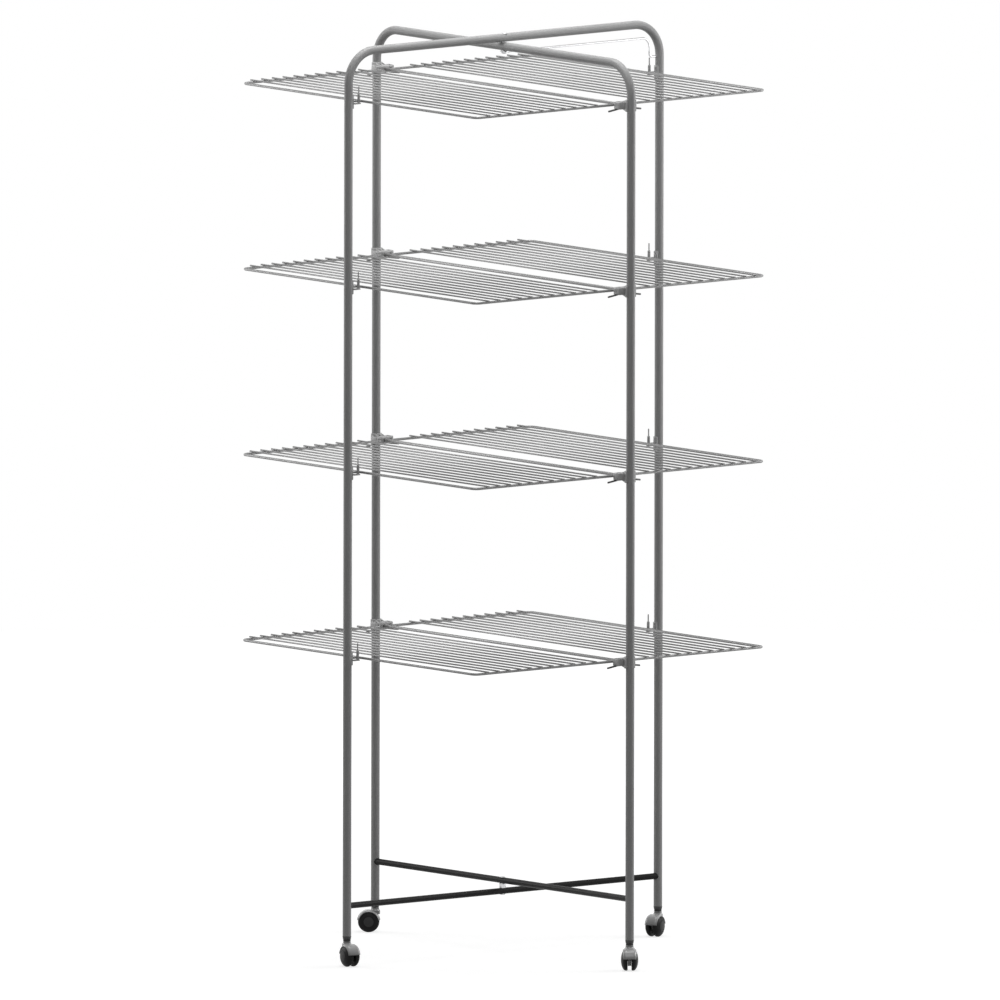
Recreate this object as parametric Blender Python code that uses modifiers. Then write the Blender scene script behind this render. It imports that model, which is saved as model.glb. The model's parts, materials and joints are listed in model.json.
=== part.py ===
# Tower clothes airer: two crossed tube frames on twin-wheel casters, carrying
# four tiers of hinged wire racks, two racks to a tier.
# Metres, +Z up, origin on the floor under the tower's axis.
# +X runs along the inner frame, +Y along the outer frame.

import math

import bmesh
import bpy
from mathutils import Matrix, Vector

# Clearance between pieces that touch
GAP = 0.0003

# Crossed frames, bent from round tube
POST_SPAN = 0.748
TUBE_D = 0.016
TUBE_WALL = 0.0008
BEND_R = 0.060

# Lower cross bars
LOWER_BAR_D = 0.0115
LOWER_BAR_WALL = 0.0008
LOWER_BAR_Z = 0.1125
LOWER_BAR_STEP = 0.020

# Tiers, counted from the bottom
TIERS = 4
FIRST_TIER_Z = 0.580
HANG_CLEAR = 0.0145
TOP_STRAIGHT = 0.0125

# Wire racks
RAIL_D = 0.005
WIRE_D = 0.0032
WIRES = 11
FIRST_WIRE_Y = 0.0626
WIRE_OVERHANG = 0.0066
WELD_SINK = 0.0005
RACK_CORNER_R = 0.012
PIN_BEND_R = 0.005
HINGE_Y = 0.014
RAIL_TO_POST = 0.0185
TONGUE_D = 0.004
TONGUE_REACH = 0.0135

# Centre rod of a tier
ROD_D = 0.006
ROD_SEAT = 0.005

# Hinge brackets on the inner frame's posts
SADDLE_WALL = 0.0032
SADDLE_H = 0.022
SADDLE_WRAP = 0.0015
NOSE_REACH = 0.0258
NOSE_ROOT = 0.009
EAR_WALL = 0.0042
EAR_CHAMFER = 0.0012
PIN_DEPTH = 0.0118
PIN_END_PLAY = 0.0005
# Two thin arms slope down and away from the foot of the bracket
FOOT_D = 0.0036
FOOT_INSET = 0.0068
FOOT_START = 0.0060
FOOT_RISE = 0.0050
FOOT_REACH = 0.0395
FOOT_DROP = 0.0100

# Catches on the outer frame's posts
CATCH_PAD_LEFT = 0.0045
CATCH_PAD_RIGHT = 0.005
CATCH_PAD_T = 0.002
CATCH_PAD_LOW = 0.017
CATCH_PAD_TOP = 0.020
CATCH_ARM_OVER = 0.0004
CATCH_ARM_H = 0.003
CATCH_CLEAR = 0.0009
PRONG_D = 0.0056
PRONG_TOP = 0.024
PRONG_CLEAR = 0.0008

# Hanger wire under one half of the outer frame's top bar
HANGER_D = 0.004
HANGER_INSET = 0.0165
HANGER_FOOT = 0.0025
HANGER_BEND_R = 0.006
# How much tighter the wire's corner is than the inside of the tube's bend
HANGER_TIGHTER = 0.026
# Its inner end is an open eye round the top rivet: where its neck starts, as a
# share of the eye's radius, and where the eye ends, in degrees from +X
EYE_NECK = 2.4
EYE_END = -200.0

# Rivets on the tower's axis
TOP_RIVET_D = 0.006
LOWER_RIVET_D = 0.005
RIVET_HEAD_OVER = 0.003
RIVET_HEAD_T = 0.0015
SPACER_OVER = 0.004

# Plugs in the posts' lower ends
PLUG_LIP = 0.0003
PLUG_FLANGE_H = 0.0057
PLUG_SPIGOT = 0.028
PLUG_ROOF = 0.004

# Twin-wheel casters
WHEEL_D = 0.040
WHEEL_W = 0.0128
WHEEL_TREAD = 0.0034
HUB_ROOF = 0.0016
AXLE_D = 0.005
TRAIL = 0.012
WEB_T = 0.0066
WEB_LOW_R = 0.014
# Angle below the axle's level, in degrees, down to which the web meets the hood
WEB_EDGE = 6.0
WHEEL_CLEAR = 0.0006
HOOD_T = 0.0016
# How far round the wheels' domes the hood reaches, in degrees from the tread
HOOD_WRAP = 42.0
HOOD_LOW = 0.004
BOSS_D = 0.015
BOSS_TOP = 0.046
BOSS_DEEP = 0.015
BOSS_FLARE = 0.0020
# Share of a post's tube that a stem's pin takes
STEM_SHARE = 0.5
STEM_SEAT = 0.005
STEM_COLLAR_D = 0.0145
STEM_COLLAR_H = 0.0034
STEM_UP = 0.022
# Headings of the casters' trail, in degrees about the posts from +X
HEADINGS = {"front": -12.0, "back": -65.0, "left": -130.0, "right": -39.0}

# How far a cutter or a buried end runs past the surface it meets
OVERCUT = 0.004

# Sizes that follow from the driving ones
TUBE_R = TUBE_D / 2
POST_AT = POST_SPAN / 2
RAIL_R = RAIL_D / 2
WIRE_R = WIRE_D / 2
ROD_R = ROD_D / 2
OUTER_RAIL_Y = POST_AT - TUBE_R - RAIL_TO_POST
RAIL_BELOW_WIRES = RAIL_R + WIRE_R - WELD_SINK
TIER_PITCH = OUTER_RAIL_Y - HINGE_Y + HANG_CLEAR
TIER_Z = [FIRST_TIER_Z + n * TIER_PITCH for n in range(TIERS)]
INNER_TOP_Z = TIER_Z[-1] + TOP_STRAIGHT + BEND_R
OUTER_TOP_Z = INNER_TOP_Z + TUBE_D + GAP
HANGER_Z = INNER_TOP_Z - TUBE_R - GAP - HANGER_D / 2
EYE_R = TOP_RIVET_D / 2 + HANGER_D / 2 + GAP + GAP
OUTER_BAR_Z = LOWER_BAR_Z
INNER_BAR_Z = LOWER_BAR_Z + LOWER_BAR_STEP
NOSE_FACE = POST_AT - NOSE_REACH
SIDE_RAIL_X = NOSE_FACE - GAP - PIN_BEND_R
STEM_D = TUBE_D * STEM_SHARE
WHEEL_R = WHEEL_D / 2
WHEEL_INNER = WEB_T / 2 + GAP
WHEEL_OUTER = WHEEL_INNER + WHEEL_W
TREAD_END = WHEEL_INNER + WHEEL_TREAD
STEM_COLLAR_LOW = BOSS_TOP + GAP
STEM_COLLAR_TOP = STEM_COLLAR_LOW + STEM_COLLAR_H
PLUG_LOW = STEM_COLLAR_TOP + GAP
POST_END_Z = PLUG_LOW + PLUG_FLANGE_H + GAP

TUBE_SIDES = 16
SMALL_SIDES = 12
WIRE_SIDES = 6
WHEEL_SIDES = 20
BEND_STEPS = 6


def bore_radius(radius, sides):
    # A many-sided bore whose flats clear a round pin of this radius by the gap
    return (radius + GAP) / math.cos(math.pi / sides)


# Scene, collections and materials

for old in list(bpy.data.objects):
    bpy.data.objects.remove(old, do_unlink=True)

airer = bpy.data.collections.new("tower_clothes_airer")
bpy.context.scene.collection.children.link(airer)


def material(name, color, roughness, metallic):
    mat = bpy.data.materials.new(name)
    mat.use_nodes = True
    shader = mat.node_tree.nodes["Principled BSDF"]
    shader.inputs["Base Color"].default_value = (*color, 1.0)
    shader.inputs["Roughness"].default_value = roughness
    shader.inputs["Metallic"].default_value = metallic
    mat.diffuse_color = (*color, 1.0)
    return mat


LOOKS = {
    "outer_tube": ((0.200, 0.200, 0.205), 0.42, 0.55),
    "inner_tube": ((0.200, 0.200, 0.205), 0.42, 0.55),
    "lower_bar": ((0.030, 0.030, 0.032), 0.45, 0.20),
    "rack_wire": ((0.400, 0.400, 0.405), 0.35, 0.70),
    "rod": ((0.280, 0.280, 0.285), 0.40, 0.60),
    "zinc": ((0.600, 0.600, 0.610), 0.35, 0.95),
    "catch": ((0.300, 0.300, 0.304), 0.50, 0.00),
    "bracket": ((0.400, 0.400, 0.405), 0.50, 0.00),
    "black_plastic": ((0.018, 0.018, 0.019), 0.45, 0.00),
    "black_steel": ((0.030, 0.030, 0.031), 0.40, 0.50),
    "hood_plastic": ((0.200, 0.200, 0.203), 0.30, 0.00),
    "wheel_plastic": ((0.015, 0.015, 0.016), 0.55, 0.00),
}
MATERIALS = {name: material(name, *look) for name, look in LOOKS.items()}


# Modelling helpers


def new_object(name, mesh):
    obj = bpy.data.objects.new(name, mesh)
    airer.objects.link(obj)
    return obj


def smooth(mesh):
    mesh.shade_smooth()
    mesh.set_sharp_from_angle(angle=math.radians(40.0))


def finished_mesh(obj, name):
    # The object's evaluated mesh in its own frame; the object and its curve are removed
    graph = bpy.context.evaluated_depsgraph_get()
    graph.update()
    mesh = bpy.data.meshes.new_from_object(obj.evaluated_get(graph))
    mesh.transform(obj.matrix_world)
    data = obj.data
    bpy.data.objects.remove(obj, do_unlink=True)
    if isinstance(data, bpy.types.Curve):
        bpy.data.curves.remove(data)
    mesh.name = name
    return mesh


def welded(mesh):
    bm = bmesh.new()
    bm.from_mesh(mesh)
    bmesh.ops.remove_doubles(bm, verts=bm.verts, dist=GAP / 30)
    bmesh.ops.recalc_face_normals(bm, faces=bm.faces)
    bm.to_mesh(mesh)
    bm.free()
    return mesh


def tube_mesh(name, points, radius, detail):
    # A round bar swept along the points, with closed ends
    curve = bpy.data.curves.new(name, "CURVE")
    curve.dimensions = "3D"
    curve.bevel_depth = radius
    curve.bevel_resolution = detail
    curve.use_fill_caps = True
    spline = curve.splines.new("POLY")
    spline.points.add(len(points) - 1)
    for point, place in zip(spline.points, points):
        point.co = (*place, 1.0)
    obj = new_object(name, curve)
    return welded(finished_mesh(obj, name))


def box_mesh(name, low, high):
    bm = bmesh.new()
    size = [b - a for a, b in zip(low, high)]
    middle = [(a + b) / 2 for a, b in zip(low, high)]
    place = Matrix.Translation(middle) @ Matrix.Diagonal((*size, 1.0))
    bmesh.ops.create_cube(bm, size=1.0, matrix=place)
    mesh = bpy.data.meshes.new(name)
    bm.to_mesh(mesh)
    bm.free()
    return mesh


def bar_into(bm, start, end, radius, sides, turn=0.0):
    # A straight round bar from start to end, added to an open bmesh
    start = Vector(start)
    end = Vector(end)
    along = end - start
    aim = along.to_track_quat("Z", "Y").to_matrix().to_4x4()
    place = Matrix.Translation((start + end) / 2) @ aim @ Matrix.Rotation(turn, 4, "Z")
    bmesh.ops.create_cone(
        bm,
        cap_ends=True,
        cap_tris=False,
        segments=sides,
        radius1=radius,
        radius2=radius,
        depth=along.length,
        matrix=place,
    )


def bar_mesh(name, start, end, radius, sides, turn=0.0):
    bm = bmesh.new()
    bar_into(bm, start, end, radius, sides, turn)
    mesh = bpy.data.meshes.new(name)
    bm.to_mesh(mesh)
    bm.free()
    return mesh


def turned_mesh(name, profile, sides):
    # A turned piece: the profile of radius and height runs down its outer side
    mesh = bpy.data.meshes.new(name)
    verts = [(r, 0.0, z) for r, z in profile]
    edges = [(n, n + 1) for n in range(len(verts) - 1)]
    mesh.from_pydata(verts, edges, [])
    obj = new_object(name, mesh)
    screw = obj.modifiers.new("turn", "SCREW")
    screw.axis = "Z"
    screw.angle = math.tau
    screw.steps = sides
    screw.render_steps = sides
    screw.use_merge_vertices = True
    screw.merge_threshold = GAP / 30
    return finished_mesh(obj, name)


def combined(name, mesh, *steps):
    # The mesh after a run of Booleans, each given as (operation, other mesh)
    obj = new_object(name, mesh)
    others = []
    for operation, other_mesh in steps:
        other = new_object(name + "_tool", other_mesh)
        other.hide_render = True
        other.display_type = "WIRE"
        others.append(other)
        cut = obj.modifiers.new(operation, "BOOLEAN")
        cut.operation = operation
        cut.solver = "EXACT"
        cut.object = other
    result = finished_mesh(obj, name)
    for other in others:
        bpy.data.objects.remove(other, do_unlink=True)
    return result


def corner(center, radius, start, end, steps, plane):
    # Points on an arc about the centre, from start to end in degrees; plane maps (u, v) to a point
    points = []
    for n in range(steps + 1):
        angle = math.radians(start + (end - start) * n / steps)
        u = center[0] + radius * math.cos(angle)
        v = center[1] + radius * math.sin(angle)
        points.append(plane(u, v))
    return points


def piece(name, mesh, look, place=None):
    # A finished sub-part: its mesh, its material and where it stands
    obj = new_object(name, mesh)
    if place is not None:
        obj.matrix_world = place
    if not mesh.materials:
        mesh.materials.append(MATERIALS[look])
    smooth(mesh)
    return obj


def at(x, y, z, turn=0.0):
    return Matrix.Translation((x, y, z)) @ Matrix.Rotation(math.radians(turn), 4, "Z")


def hung_from(obj, parent):
    # Keeps the object where it is and makes it follow the parent
    bpy.context.view_layer.update()
    obj.parent = parent
    obj.matrix_parent_inverse = parent.matrix_world.inverted()


def pivot(name, place):
    empty = bpy.data.objects.new(name, None)
    empty.empty_display_size = POST_AT / 8
    airer.objects.link(empty)
    empty.matrix_world = place
    return empty


# Frame tubes: an upside-down U in a vertical plane, hollow and open at its lower ends


def frame_points(top_z, low_z, plane):
    side = POST_AT
    inner = side - BEND_R
    bend_z = top_z - BEND_R
    points = [plane(-side, low_z)]
    points += corner((-inner, bend_z), BEND_R, 180.0, 90.0, BEND_STEPS, plane)
    points += corner((inner, bend_z), BEND_R, 90.0, 0.0, BEND_STEPS, plane)
    points.append(plane(side, low_z))
    return points


def frame_mesh(name, top_z, plane):
    outside = frame_points(top_z, POST_END_Z, plane)
    inside = frame_points(top_z, POST_END_Z - OVERCUT, plane)
    shell = tube_mesh(name, outside, TUBE_R, 6)
    bore = tube_mesh(name + "_bore", inside, TUBE_R - TUBE_WALL, 6)
    pin = bore_radius(TOP_RIVET_D / 2, SMALL_SIDES)
    hole = bar_mesh(
        name + "_hole",
        (0.0, 0.0, top_z - TUBE_D),
        (0.0, 0.0, top_z + TUBE_D),
        pin,
        SMALL_SIDES,
    )
    return combined(name, shell, ("DIFFERENCE", bore), ("DIFFERENCE", hole))


def in_xz(u, v):
    return (u, 0.0, v)


def in_yz(u, v):
    return (0.0, u, v)


inner_tube = piece("inner_frame_tube", frame_mesh("inner_frame_tube", INNER_TOP_Z, in_xz), "inner_tube")
outer_tube = piece("outer_frame_tube", frame_mesh("outer_frame_tube", OUTER_TOP_Z, in_yz), "outer_tube")


# Lower bars: hollow, with ends coped round the posts, and a rivet hole in the middle


def lower_bar_mesh(name, bar_z, plane):
    low = plane(-POST_AT, bar_z)
    high = plane(POST_AT, bar_z)
    bar = bar_mesh(name, low, high, LOWER_BAR_D / 2, TUBE_SIDES)
    past_low = plane(-POST_AT - OVERCUT, bar_z)
    past_high = plane(POST_AT + OVERCUT, bar_z)
    bore = bar_mesh(name + "_bore", past_low, past_high, LOWER_BAR_D / 2 - LOWER_BAR_WALL, TUBE_SIDES)
    cope = bore_radius(TUBE_R, TUBE_SIDES)
    steps = [("DIFFERENCE", bore)]
    for side in (-POST_AT, POST_AT):
        foot = plane(side, bar_z - LOWER_BAR_D)
        head = plane(side, bar_z + LOWER_BAR_D)
        steps.append(("DIFFERENCE", bar_mesh(name + "_cope", foot, head, cope, TUBE_SIDES)))
    pin = bore_radius(LOWER_RIVET_D / 2, SMALL_SIDES)
    foot = plane(0.0, bar_z - LOWER_BAR_D)
    head = plane(0.0, bar_z + LOWER_BAR_D)
    steps.append(("DIFFERENCE", bar_mesh(name + "_hole", foot, head, pin, SMALL_SIDES)))
    return combined(name, bar, *steps)


inner_bar = piece("inner_lower_bar", lower_bar_mesh("inner_lower_bar", INNER_BAR_Z, in_xz), "lower_bar")
outer_bar = piece("outer_lower_bar", lower_bar_mesh("outer_lower_bar", OUTER_BAR_Z, in_yz), "lower_bar")


# Rivets on the tower's axis, which the outer frame turns about


def rivet_profile(radius, low, high, spacer=None):
    head = radius + RIVET_HEAD_OVER
    profile = [(0.0, high + RIVET_HEAD_T), (head, high + RIVET_HEAD_T), (head, high), (radius, high)]
    if spacer is not None:
        wide, foot, top = spacer
        profile += [(radius, top), (wide, top), (wide, foot), (radius, foot)]
    profile += [(radius, low), (head, low), (head, low - RIVET_HEAD_T), (0.0, low - RIVET_HEAD_T)]
    return profile


top_rivet = piece(
    "top_pivot_rivet",
    turned_mesh(
        "top_pivot_rivet",
        rivet_profile(TOP_RIVET_D / 2, HANGER_Z - HANGER_D / 2 - GAP, OUTER_TOP_Z + TUBE_R + GAP),
        SMALL_SIDES,
    ),
    "zinc",
)
BAR_R = LOWER_BAR_D / 2
SPACER = (LOWER_RIVET_D / 2 + SPACER_OVER, OUTER_BAR_Z + BAR_R + GAP, INNER_BAR_Z - BAR_R - GAP)
lower_rivet = piece(
    "lower_pivot_rivet",
    turned_mesh(
        "lower_pivot_rivet",
        rivet_profile(LOWER_RIVET_D / 2, OUTER_BAR_Z - BAR_R - GAP, INNER_BAR_Z + BAR_R + GAP, SPACER),
        SMALL_SIDES,
    ),
    "zinc",
)


# Hanger wire: from the back post's inner face, up, along under both top bars and
# round the top rivet, whose foot holds it


def hanger_points():
    post_face = POST_AT - TUBE_R - GAP
    upright = POST_AT - TUBE_R - HANGER_INSET
    foot = OUTER_TOP_Z - BEND_R - HANGER_FOOT
    small = HANGER_BEND_R
    large = BEND_R - TUBE_R - HANGER_TIGHTER
    level = lambda u, v: (u, v, HANGER_Z)
    first = math.degrees(math.asin(1.0 / EYE_NECK))
    points = [in_yz(post_face, foot)]
    points += corner((upright + small, foot + small), small, 270.0, 180.0, 4, in_yz)
    points += corner((upright - large, HANGER_Z - large), large, 0.0, 90.0, 5, in_yz)
    points.append(in_yz(EYE_R * EYE_NECK, HANGER_Z))
    points += corner((0.0, 0.0), EYE_R, first, EYE_END, 12, level)
    return points


hanger = piece("hanger_wire", tube_mesh("hanger_wire", hanger_points(), HANGER_D / 2, 2), "zinc")

frame_turn = pivot("outer_frame_pivot", at(0.0, 0.0, 0.0))
for part in (outer_tube, outer_bar, hanger):
    hung_from(part, frame_turn)


# Wire racks, modelled about the hinge axis with the rack reaching along +Y


def side_rail_points():
    # From the hinge pin's tip to the middle of the outer rail, on the +X side
    reach = OUTER_RAIL_Y - HINGE_Y
    bend = PIN_BEND_R
    tip = NOSE_FACE + PIN_DEPTH - PIN_END_PLAY
    flat = lambda u, v: (u, v, 0.0)
    points = [(tip, 0.0, 0.0)]
    points += corner((SIDE_RAIL_X + bend, bend), bend, 270.0, 180.0, 3, flat)
    inner = SIDE_RAIL_X - RACK_CORNER_R
    points += corner((inner, reach - RACK_CORNER_R), RACK_CORNER_R, 0.0, 90.0, 3, flat)
    return points


def rack_mesh():
    right = side_rail_points()
    left = [(-x, y, z) for x, y, z in reversed(right)]
    rail = tube_mesh("rack", right + left, RAIL_R, 1)
    # The wires lie across the side rails, and a tongue stands out from the outer rail
    wires = bmesh.new()
    reach = OUTER_RAIL_Y - HINGE_Y
    first = FIRST_WIRE_Y - HINGE_Y
    end = SIDE_RAIL_X + RAIL_R + WIRE_OVERHANG
    for n in range(WIRES):
        y = first + (reach - first) * n / WIRES
        z = RAIL_BELOW_WIRES
        bar_into(wires, (-end, y, z), (end, y, z), WIRE_R, WIRE_SIDES)
    tongue = reach + TONGUE_REACH
    bar_into(wires, (0.0, reach, 0.0), (0.0, tongue, 0.0), TONGUE_D / 2, WIRE_SIDES)
    mesh = bpy.data.meshes.new("rack_wires")
    wires.to_mesh(mesh)
    wires.free()
    return combined("rack", rail, ("UNION", mesh))


# Hinge bracket, modelled about the post's axis at hinge height, reaching along -X


def hinge_mesh():
    half_w = HINGE_Y + RAIL_R + GAP + EAR_WALL
    half_h = RAIL_R + GAP + EAR_WALL
    nose = new_object(
        "hinge_nose",
        box_mesh("hinge_nose", (-NOSE_REACH, -half_w, -half_h), (-NOSE_ROOT, half_w, half_h)),
    )
    bevel = nose.modifiers.new("chamfer", "BEVEL")
    bevel.width = EAR_CHAMFER
    bevel.segments = 1
    nose_mesh = finished_mesh(nose, "hinge_nose")
    saddle_r = TUBE_R + GAP + SADDLE_WALL
    half = SADDLE_H / 2
    saddle = bar_mesh("saddle", (0.0, 0.0, -half), (0.0, 0.0, half), saddle_r, SMALL_SIDES)
    long = half + OVERCUT
    wide = saddle_r + OVERCUT
    open_side = box_mesh("open_side", (SADDLE_WRAP, -wide, -long), (wide, wide, long))
    bore_r = bore_radius(TUBE_R, SMALL_SIDES)
    bore = bar_mesh("bore", (0.0, 0.0, -long), (0.0, 0.0, long), bore_r, SMALL_SIDES)
    steps = [("UNION", saddle), ("DIFFERENCE", bore), ("DIFFERENCE", open_side)]
    foot_x = FOOT_INSET - NOSE_REACH
    for side in (-1.0, 1.0):
        start = (foot_x, side * FOOT_START, -FOOT_RISE)
        end = (foot_x, side * FOOT_REACH, -FOOT_DROP)
        steps.append(("UNION", bar_mesh("foot", start, end, FOOT_D / 2, 8)))
    mouth = -NOSE_REACH - OVERCUT
    for y in (-HINGE_Y, HINGE_Y):
        end = (-NOSE_REACH + PIN_DEPTH, y, 0.0)
        hole = bar_mesh("pin_hole", (mouth, y, 0.0), end, bore_radius(RAIL_R, 8), 8)
        steps.append(("DIFFERENCE", hole))
    end = (-NOSE_REACH + ROD_SEAT, 0.0, 0.0)
    seat = bar_mesh("rod_seat", (mouth, 0.0, 0.0), end, bore_radius(ROD_R, 8), 8)
    steps.append(("DIFFERENCE", seat))
    return combined("hinge_bracket", nose_mesh, *steps)


# Catch, modelled about the post's axis at hinge height, reaching along -Y.
# The rack's tongue lies over the arm's edge, beside the prong.


def catch_mesh():
    face = -TUBE_R - GAP
    tongue_r = TONGUE_D / 2
    arm_top = -tongue_r - CATCH_CLEAR
    arm_low = arm_top - CATCH_ARM_H
    wire_z = RAIL_BELOW_WIRES
    pad = box_mesh(
        "catch_pad",
        (-CATCH_PAD_LEFT, face - CATCH_PAD_T, wire_z - CATCH_PAD_LOW),
        (CATCH_PAD_RIGHT, face, wire_z + CATCH_PAD_TOP),
    )
    # The prong stands just outside the rack's outer rail
    rail_face = RAIL_R - TUBE_R - RAIL_TO_POST
    prong_x = -tongue_r - GAP - PRONG_D / 2
    prong_y = rail_face + PRONG_CLEAR + PRONG_D / 2
    arm = box_mesh(
        "catch_arm",
        (prong_x - PRONG_D / 2 - CATCH_ARM_OVER, rail_face + PRONG_CLEAR / 2, arm_low),
        (0.0, face - CATCH_PAD_T / 2, arm_top),
    )
    prong = bar_mesh(
        "prong",
        (prong_x, prong_y, (arm_low + arm_top) / 2),
        (prong_x, prong_y, wire_z + PRONG_TOP),
        PRONG_D / 2,
        8,
    )
    return combined("catch", pad, ("UNION", arm), ("UNION", prong))


def rod_mesh():
    end = NOSE_FACE + ROD_SEAT - GAP
    return bar_mesh("centre_rod", (-end, 0.0, 0.0), (end, 0.0, 0.0), ROD_R, 8)


RACK = rack_mesh()
HINGE = hinge_mesh()
CATCH = catch_mesh()
ROD = rod_mesh()

for number, wire_z in enumerate(TIER_Z, 1):
    tier = f"tier{number}"
    z = wire_z - RAIL_BELOW_WIRES
    piece(f"{tier}_centre_rod", ROD, "rod", at(0.0, 0.0, z))
    piece(f"{tier}_hinge_right", HINGE, "bracket", at(POST_AT, 0.0, z))
    piece(f"{tier}_hinge_left", HINGE, "bracket", at(-POST_AT, 0.0, z, 180.0))
    piece(f"{tier}_rack_back", RACK, "rack_wire", at(0.0, HINGE_Y, z))
    piece(f"{tier}_rack_front", RACK, "rack_wire", at(0.0, -HINGE_Y, z, 180.0))
    back = piece(f"{tier}_catch_back", CATCH, "catch", at(0.0, POST_AT, z))
    front = piece(f"{tier}_catch_front", CATCH, "catch", at(0.0, -POST_AT, z, 180.0))
    hung_from(back, frame_turn)
    hung_from(front, frame_turn)


# Plugs in the posts' lower ends


def plug_mesh():
    flange = TUBE_R + PLUG_LIP
    top = PLUG_LOW + PLUG_FLANGE_H
    spigot = (TUBE_R - TUBE_WALL) * math.cos(math.pi / TUBE_SIDES) - GAP
    bore = bore_radius(STEM_D / 2, TUBE_SIDES)
    high = top + PLUG_SPIGOT
    profile = [
        (0.0, high),
        (spigot, high),
        (spigot, top),
        (flange, top),
        (flange, PLUG_LOW),
        (bore, PLUG_LOW),
        (bore, high - PLUG_ROOF),
        (0.0, high - PLUG_ROOF),
    ]
    return turned_mesh("post_plug", profile, TUBE_SIDES)


# Casters, modelled about the swivel axis with the wheels trailing along +X


def dome(radius, tread, outer, first, last, steps):
    # Radius and height along a wheel's dome, between two angles up from the tread
    plane = lambda u, v: (radius * u, tread + (outer - tread) * v)
    return corner((0.0, 0.0), 1.0, first, last, steps, plane)


def wheel_mesh():
    # Turned about the axle, from the middle of the dome down to the face by the web
    bore = bore_radius(AXLE_D / 2, SMALL_SIDES)
    profile = [
        (0.0, WHEEL_OUTER),
        *dome(WHEEL_R, TREAD_END, WHEEL_OUTER, 75.0, 0.0, 5),
        (WHEEL_R, WHEEL_INNER),
        (bore, WHEEL_INNER),
        (bore, WHEEL_OUTER - HUB_ROOF),
        (0.0, WHEEL_OUTER - HUB_ROOF),
    ]
    mesh = turned_mesh("wheel", profile, WHEEL_SIDES)
    mesh.transform(Matrix.Rotation(math.radians(-90.0), 4, "X"))
    return mesh


def web_mesh():
    # A flat plate between the wheels: a half disc up to the hood, a smaller one below the axle
    curve = bpy.data.curves.new("web", "CURVE")
    curve.dimensions = "2D"
    curve.fill_mode = "BOTH"
    curve.extrude = WEB_T / 2
    hood_r = WHEEL_R + WHEEL_CLEAR + HOOD_T / 2
    flat = lambda u, v: (u, v, 0.0)
    outline = corner((0.0, 0.0), hood_r, -WEB_EDGE, 180.0 + WEB_EDGE, 12, flat)
    outline += corner((0.0, 0.0), WEB_LOW_R, 185.0 + WEB_EDGE, 355.0 - WEB_EDGE, 8, flat)
    spline = curve.splines.new("POLY")
    spline.points.add(len(outline) - 1)
    for point, place in zip(spline.points, outline):
        point.co = (*place, 1.0)
    spline.use_cyclic_u = True
    mesh = welded(finished_mesh(new_object("web", curve), "web"))
    mesh.transform(Matrix.Rotation(math.radians(90.0), 4, "X"))
    mesh.transform(Matrix.Translation((TRAIL, 0.0, WHEEL_R)))
    return mesh


def hood_mesh():
    center = Vector((TRAIL, 0.0, WHEEL_R))
    across = Vector((0.0, 1.0, 0.0))
    clear_r = bore_radius(WHEEL_R + WHEEL_CLEAR, WHEEL_SIDES)
    drum_r = clear_r + HOOD_T
    clear_out = WHEEL_OUTER + WHEEL_CLEAR
    room = WHEEL_OUTER + OVERCUT
    # Both skins of the hood follow the wheels' domes
    outside = dome(drum_r, TREAD_END, clear_out + HOOD_T, HOOD_WRAP, 0.0, 4)
    inside = dome(clear_r, TREAD_END, clear_out, HOOD_WRAP, 0.0, 4)
    outside = [(0.0, outside[0][1])] + outside
    inside = [(0.0, room), (inside[0][0], room)] + inside
    shapes = []
    for name, half_profile in (("drum", outside), ("clear", inside)):
        profile = half_profile + [(r, -h) for r, h in reversed(half_profile)]
        shape = turned_mesh(name, profile, WHEEL_SIDES)
        shape.transform(Matrix.Rotation(math.radians(-90.0), 4, "X"))
        shape.transform(Matrix.Translation(center))
        shapes.append(shape)
    drum, clear = shapes
    boss_low = BOSS_TOP - BOSS_DEEP
    boss_r = BOSS_D / 2
    boss_profile = [(0.0, BOSS_TOP), (boss_r, BOSS_TOP), (boss_r + BOSS_FLARE, boss_low), (0.0, boss_low)]
    boss = turned_mesh("boss", boss_profile, TUBE_SIDES)
    far = drum_r + OVERCUT
    below = box_mesh(
        "below",
        (TRAIL - far, -room, WHEEL_R - far),
        (TRAIL + far, room, WHEEL_R - HOOD_LOW),
    )
    socket = bar_mesh(
        "socket",
        (0.0, 0.0, BOSS_TOP - STEM_SEAT),
        (0.0, 0.0, BOSS_TOP + OVERCUT),
        bore_radius(STEM_D / 2, SMALL_SIDES),
        SMALL_SIDES,
    )
    axle_hole = bar_mesh(
        "axle_hole",
        center - across * room,
        center + across * room,
        bore_radius(AXLE_D / 2, SMALL_SIDES),
        SMALL_SIDES,
        math.pi / SMALL_SIDES,
    )
    return combined(
        "caster_hood",
        drum,
        ("UNION", boss),
        ("DIFFERENCE", clear),
        ("DIFFERENCE", below),
        ("UNION", web_mesh()),
        ("DIFFERENCE", socket),
        ("DIFFERENCE", axle_hole),
    )


def stem_mesh():
    pin = STEM_D / 2
    wide = STEM_COLLAR_D / 2
    top = PLUG_LOW + STEM_UP
    low = BOSS_TOP - STEM_SEAT + GAP
    profile = [
        (0.0, top),
        (pin, top),
        (pin, STEM_COLLAR_TOP),
        (wide, STEM_COLLAR_TOP),
        (wide, STEM_COLLAR_LOW),
        (pin, STEM_COLLAR_LOW),
        (pin, low),
        (0.0, low),
    ]
    return turned_mesh("caster_stem", profile, SMALL_SIDES)


def axle_mesh():
    half = WHEEL_OUTER - HUB_ROOF - GAP
    return bar_mesh("caster_axle", (0.0, -half, 0.0), (0.0, half, 0.0), AXLE_D / 2, SMALL_SIDES)


PLUG = plug_mesh()
HOOD = hood_mesh()
STEM = stem_mesh()
AXLE = axle_mesh()
WHEEL = wheel_mesh()

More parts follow.
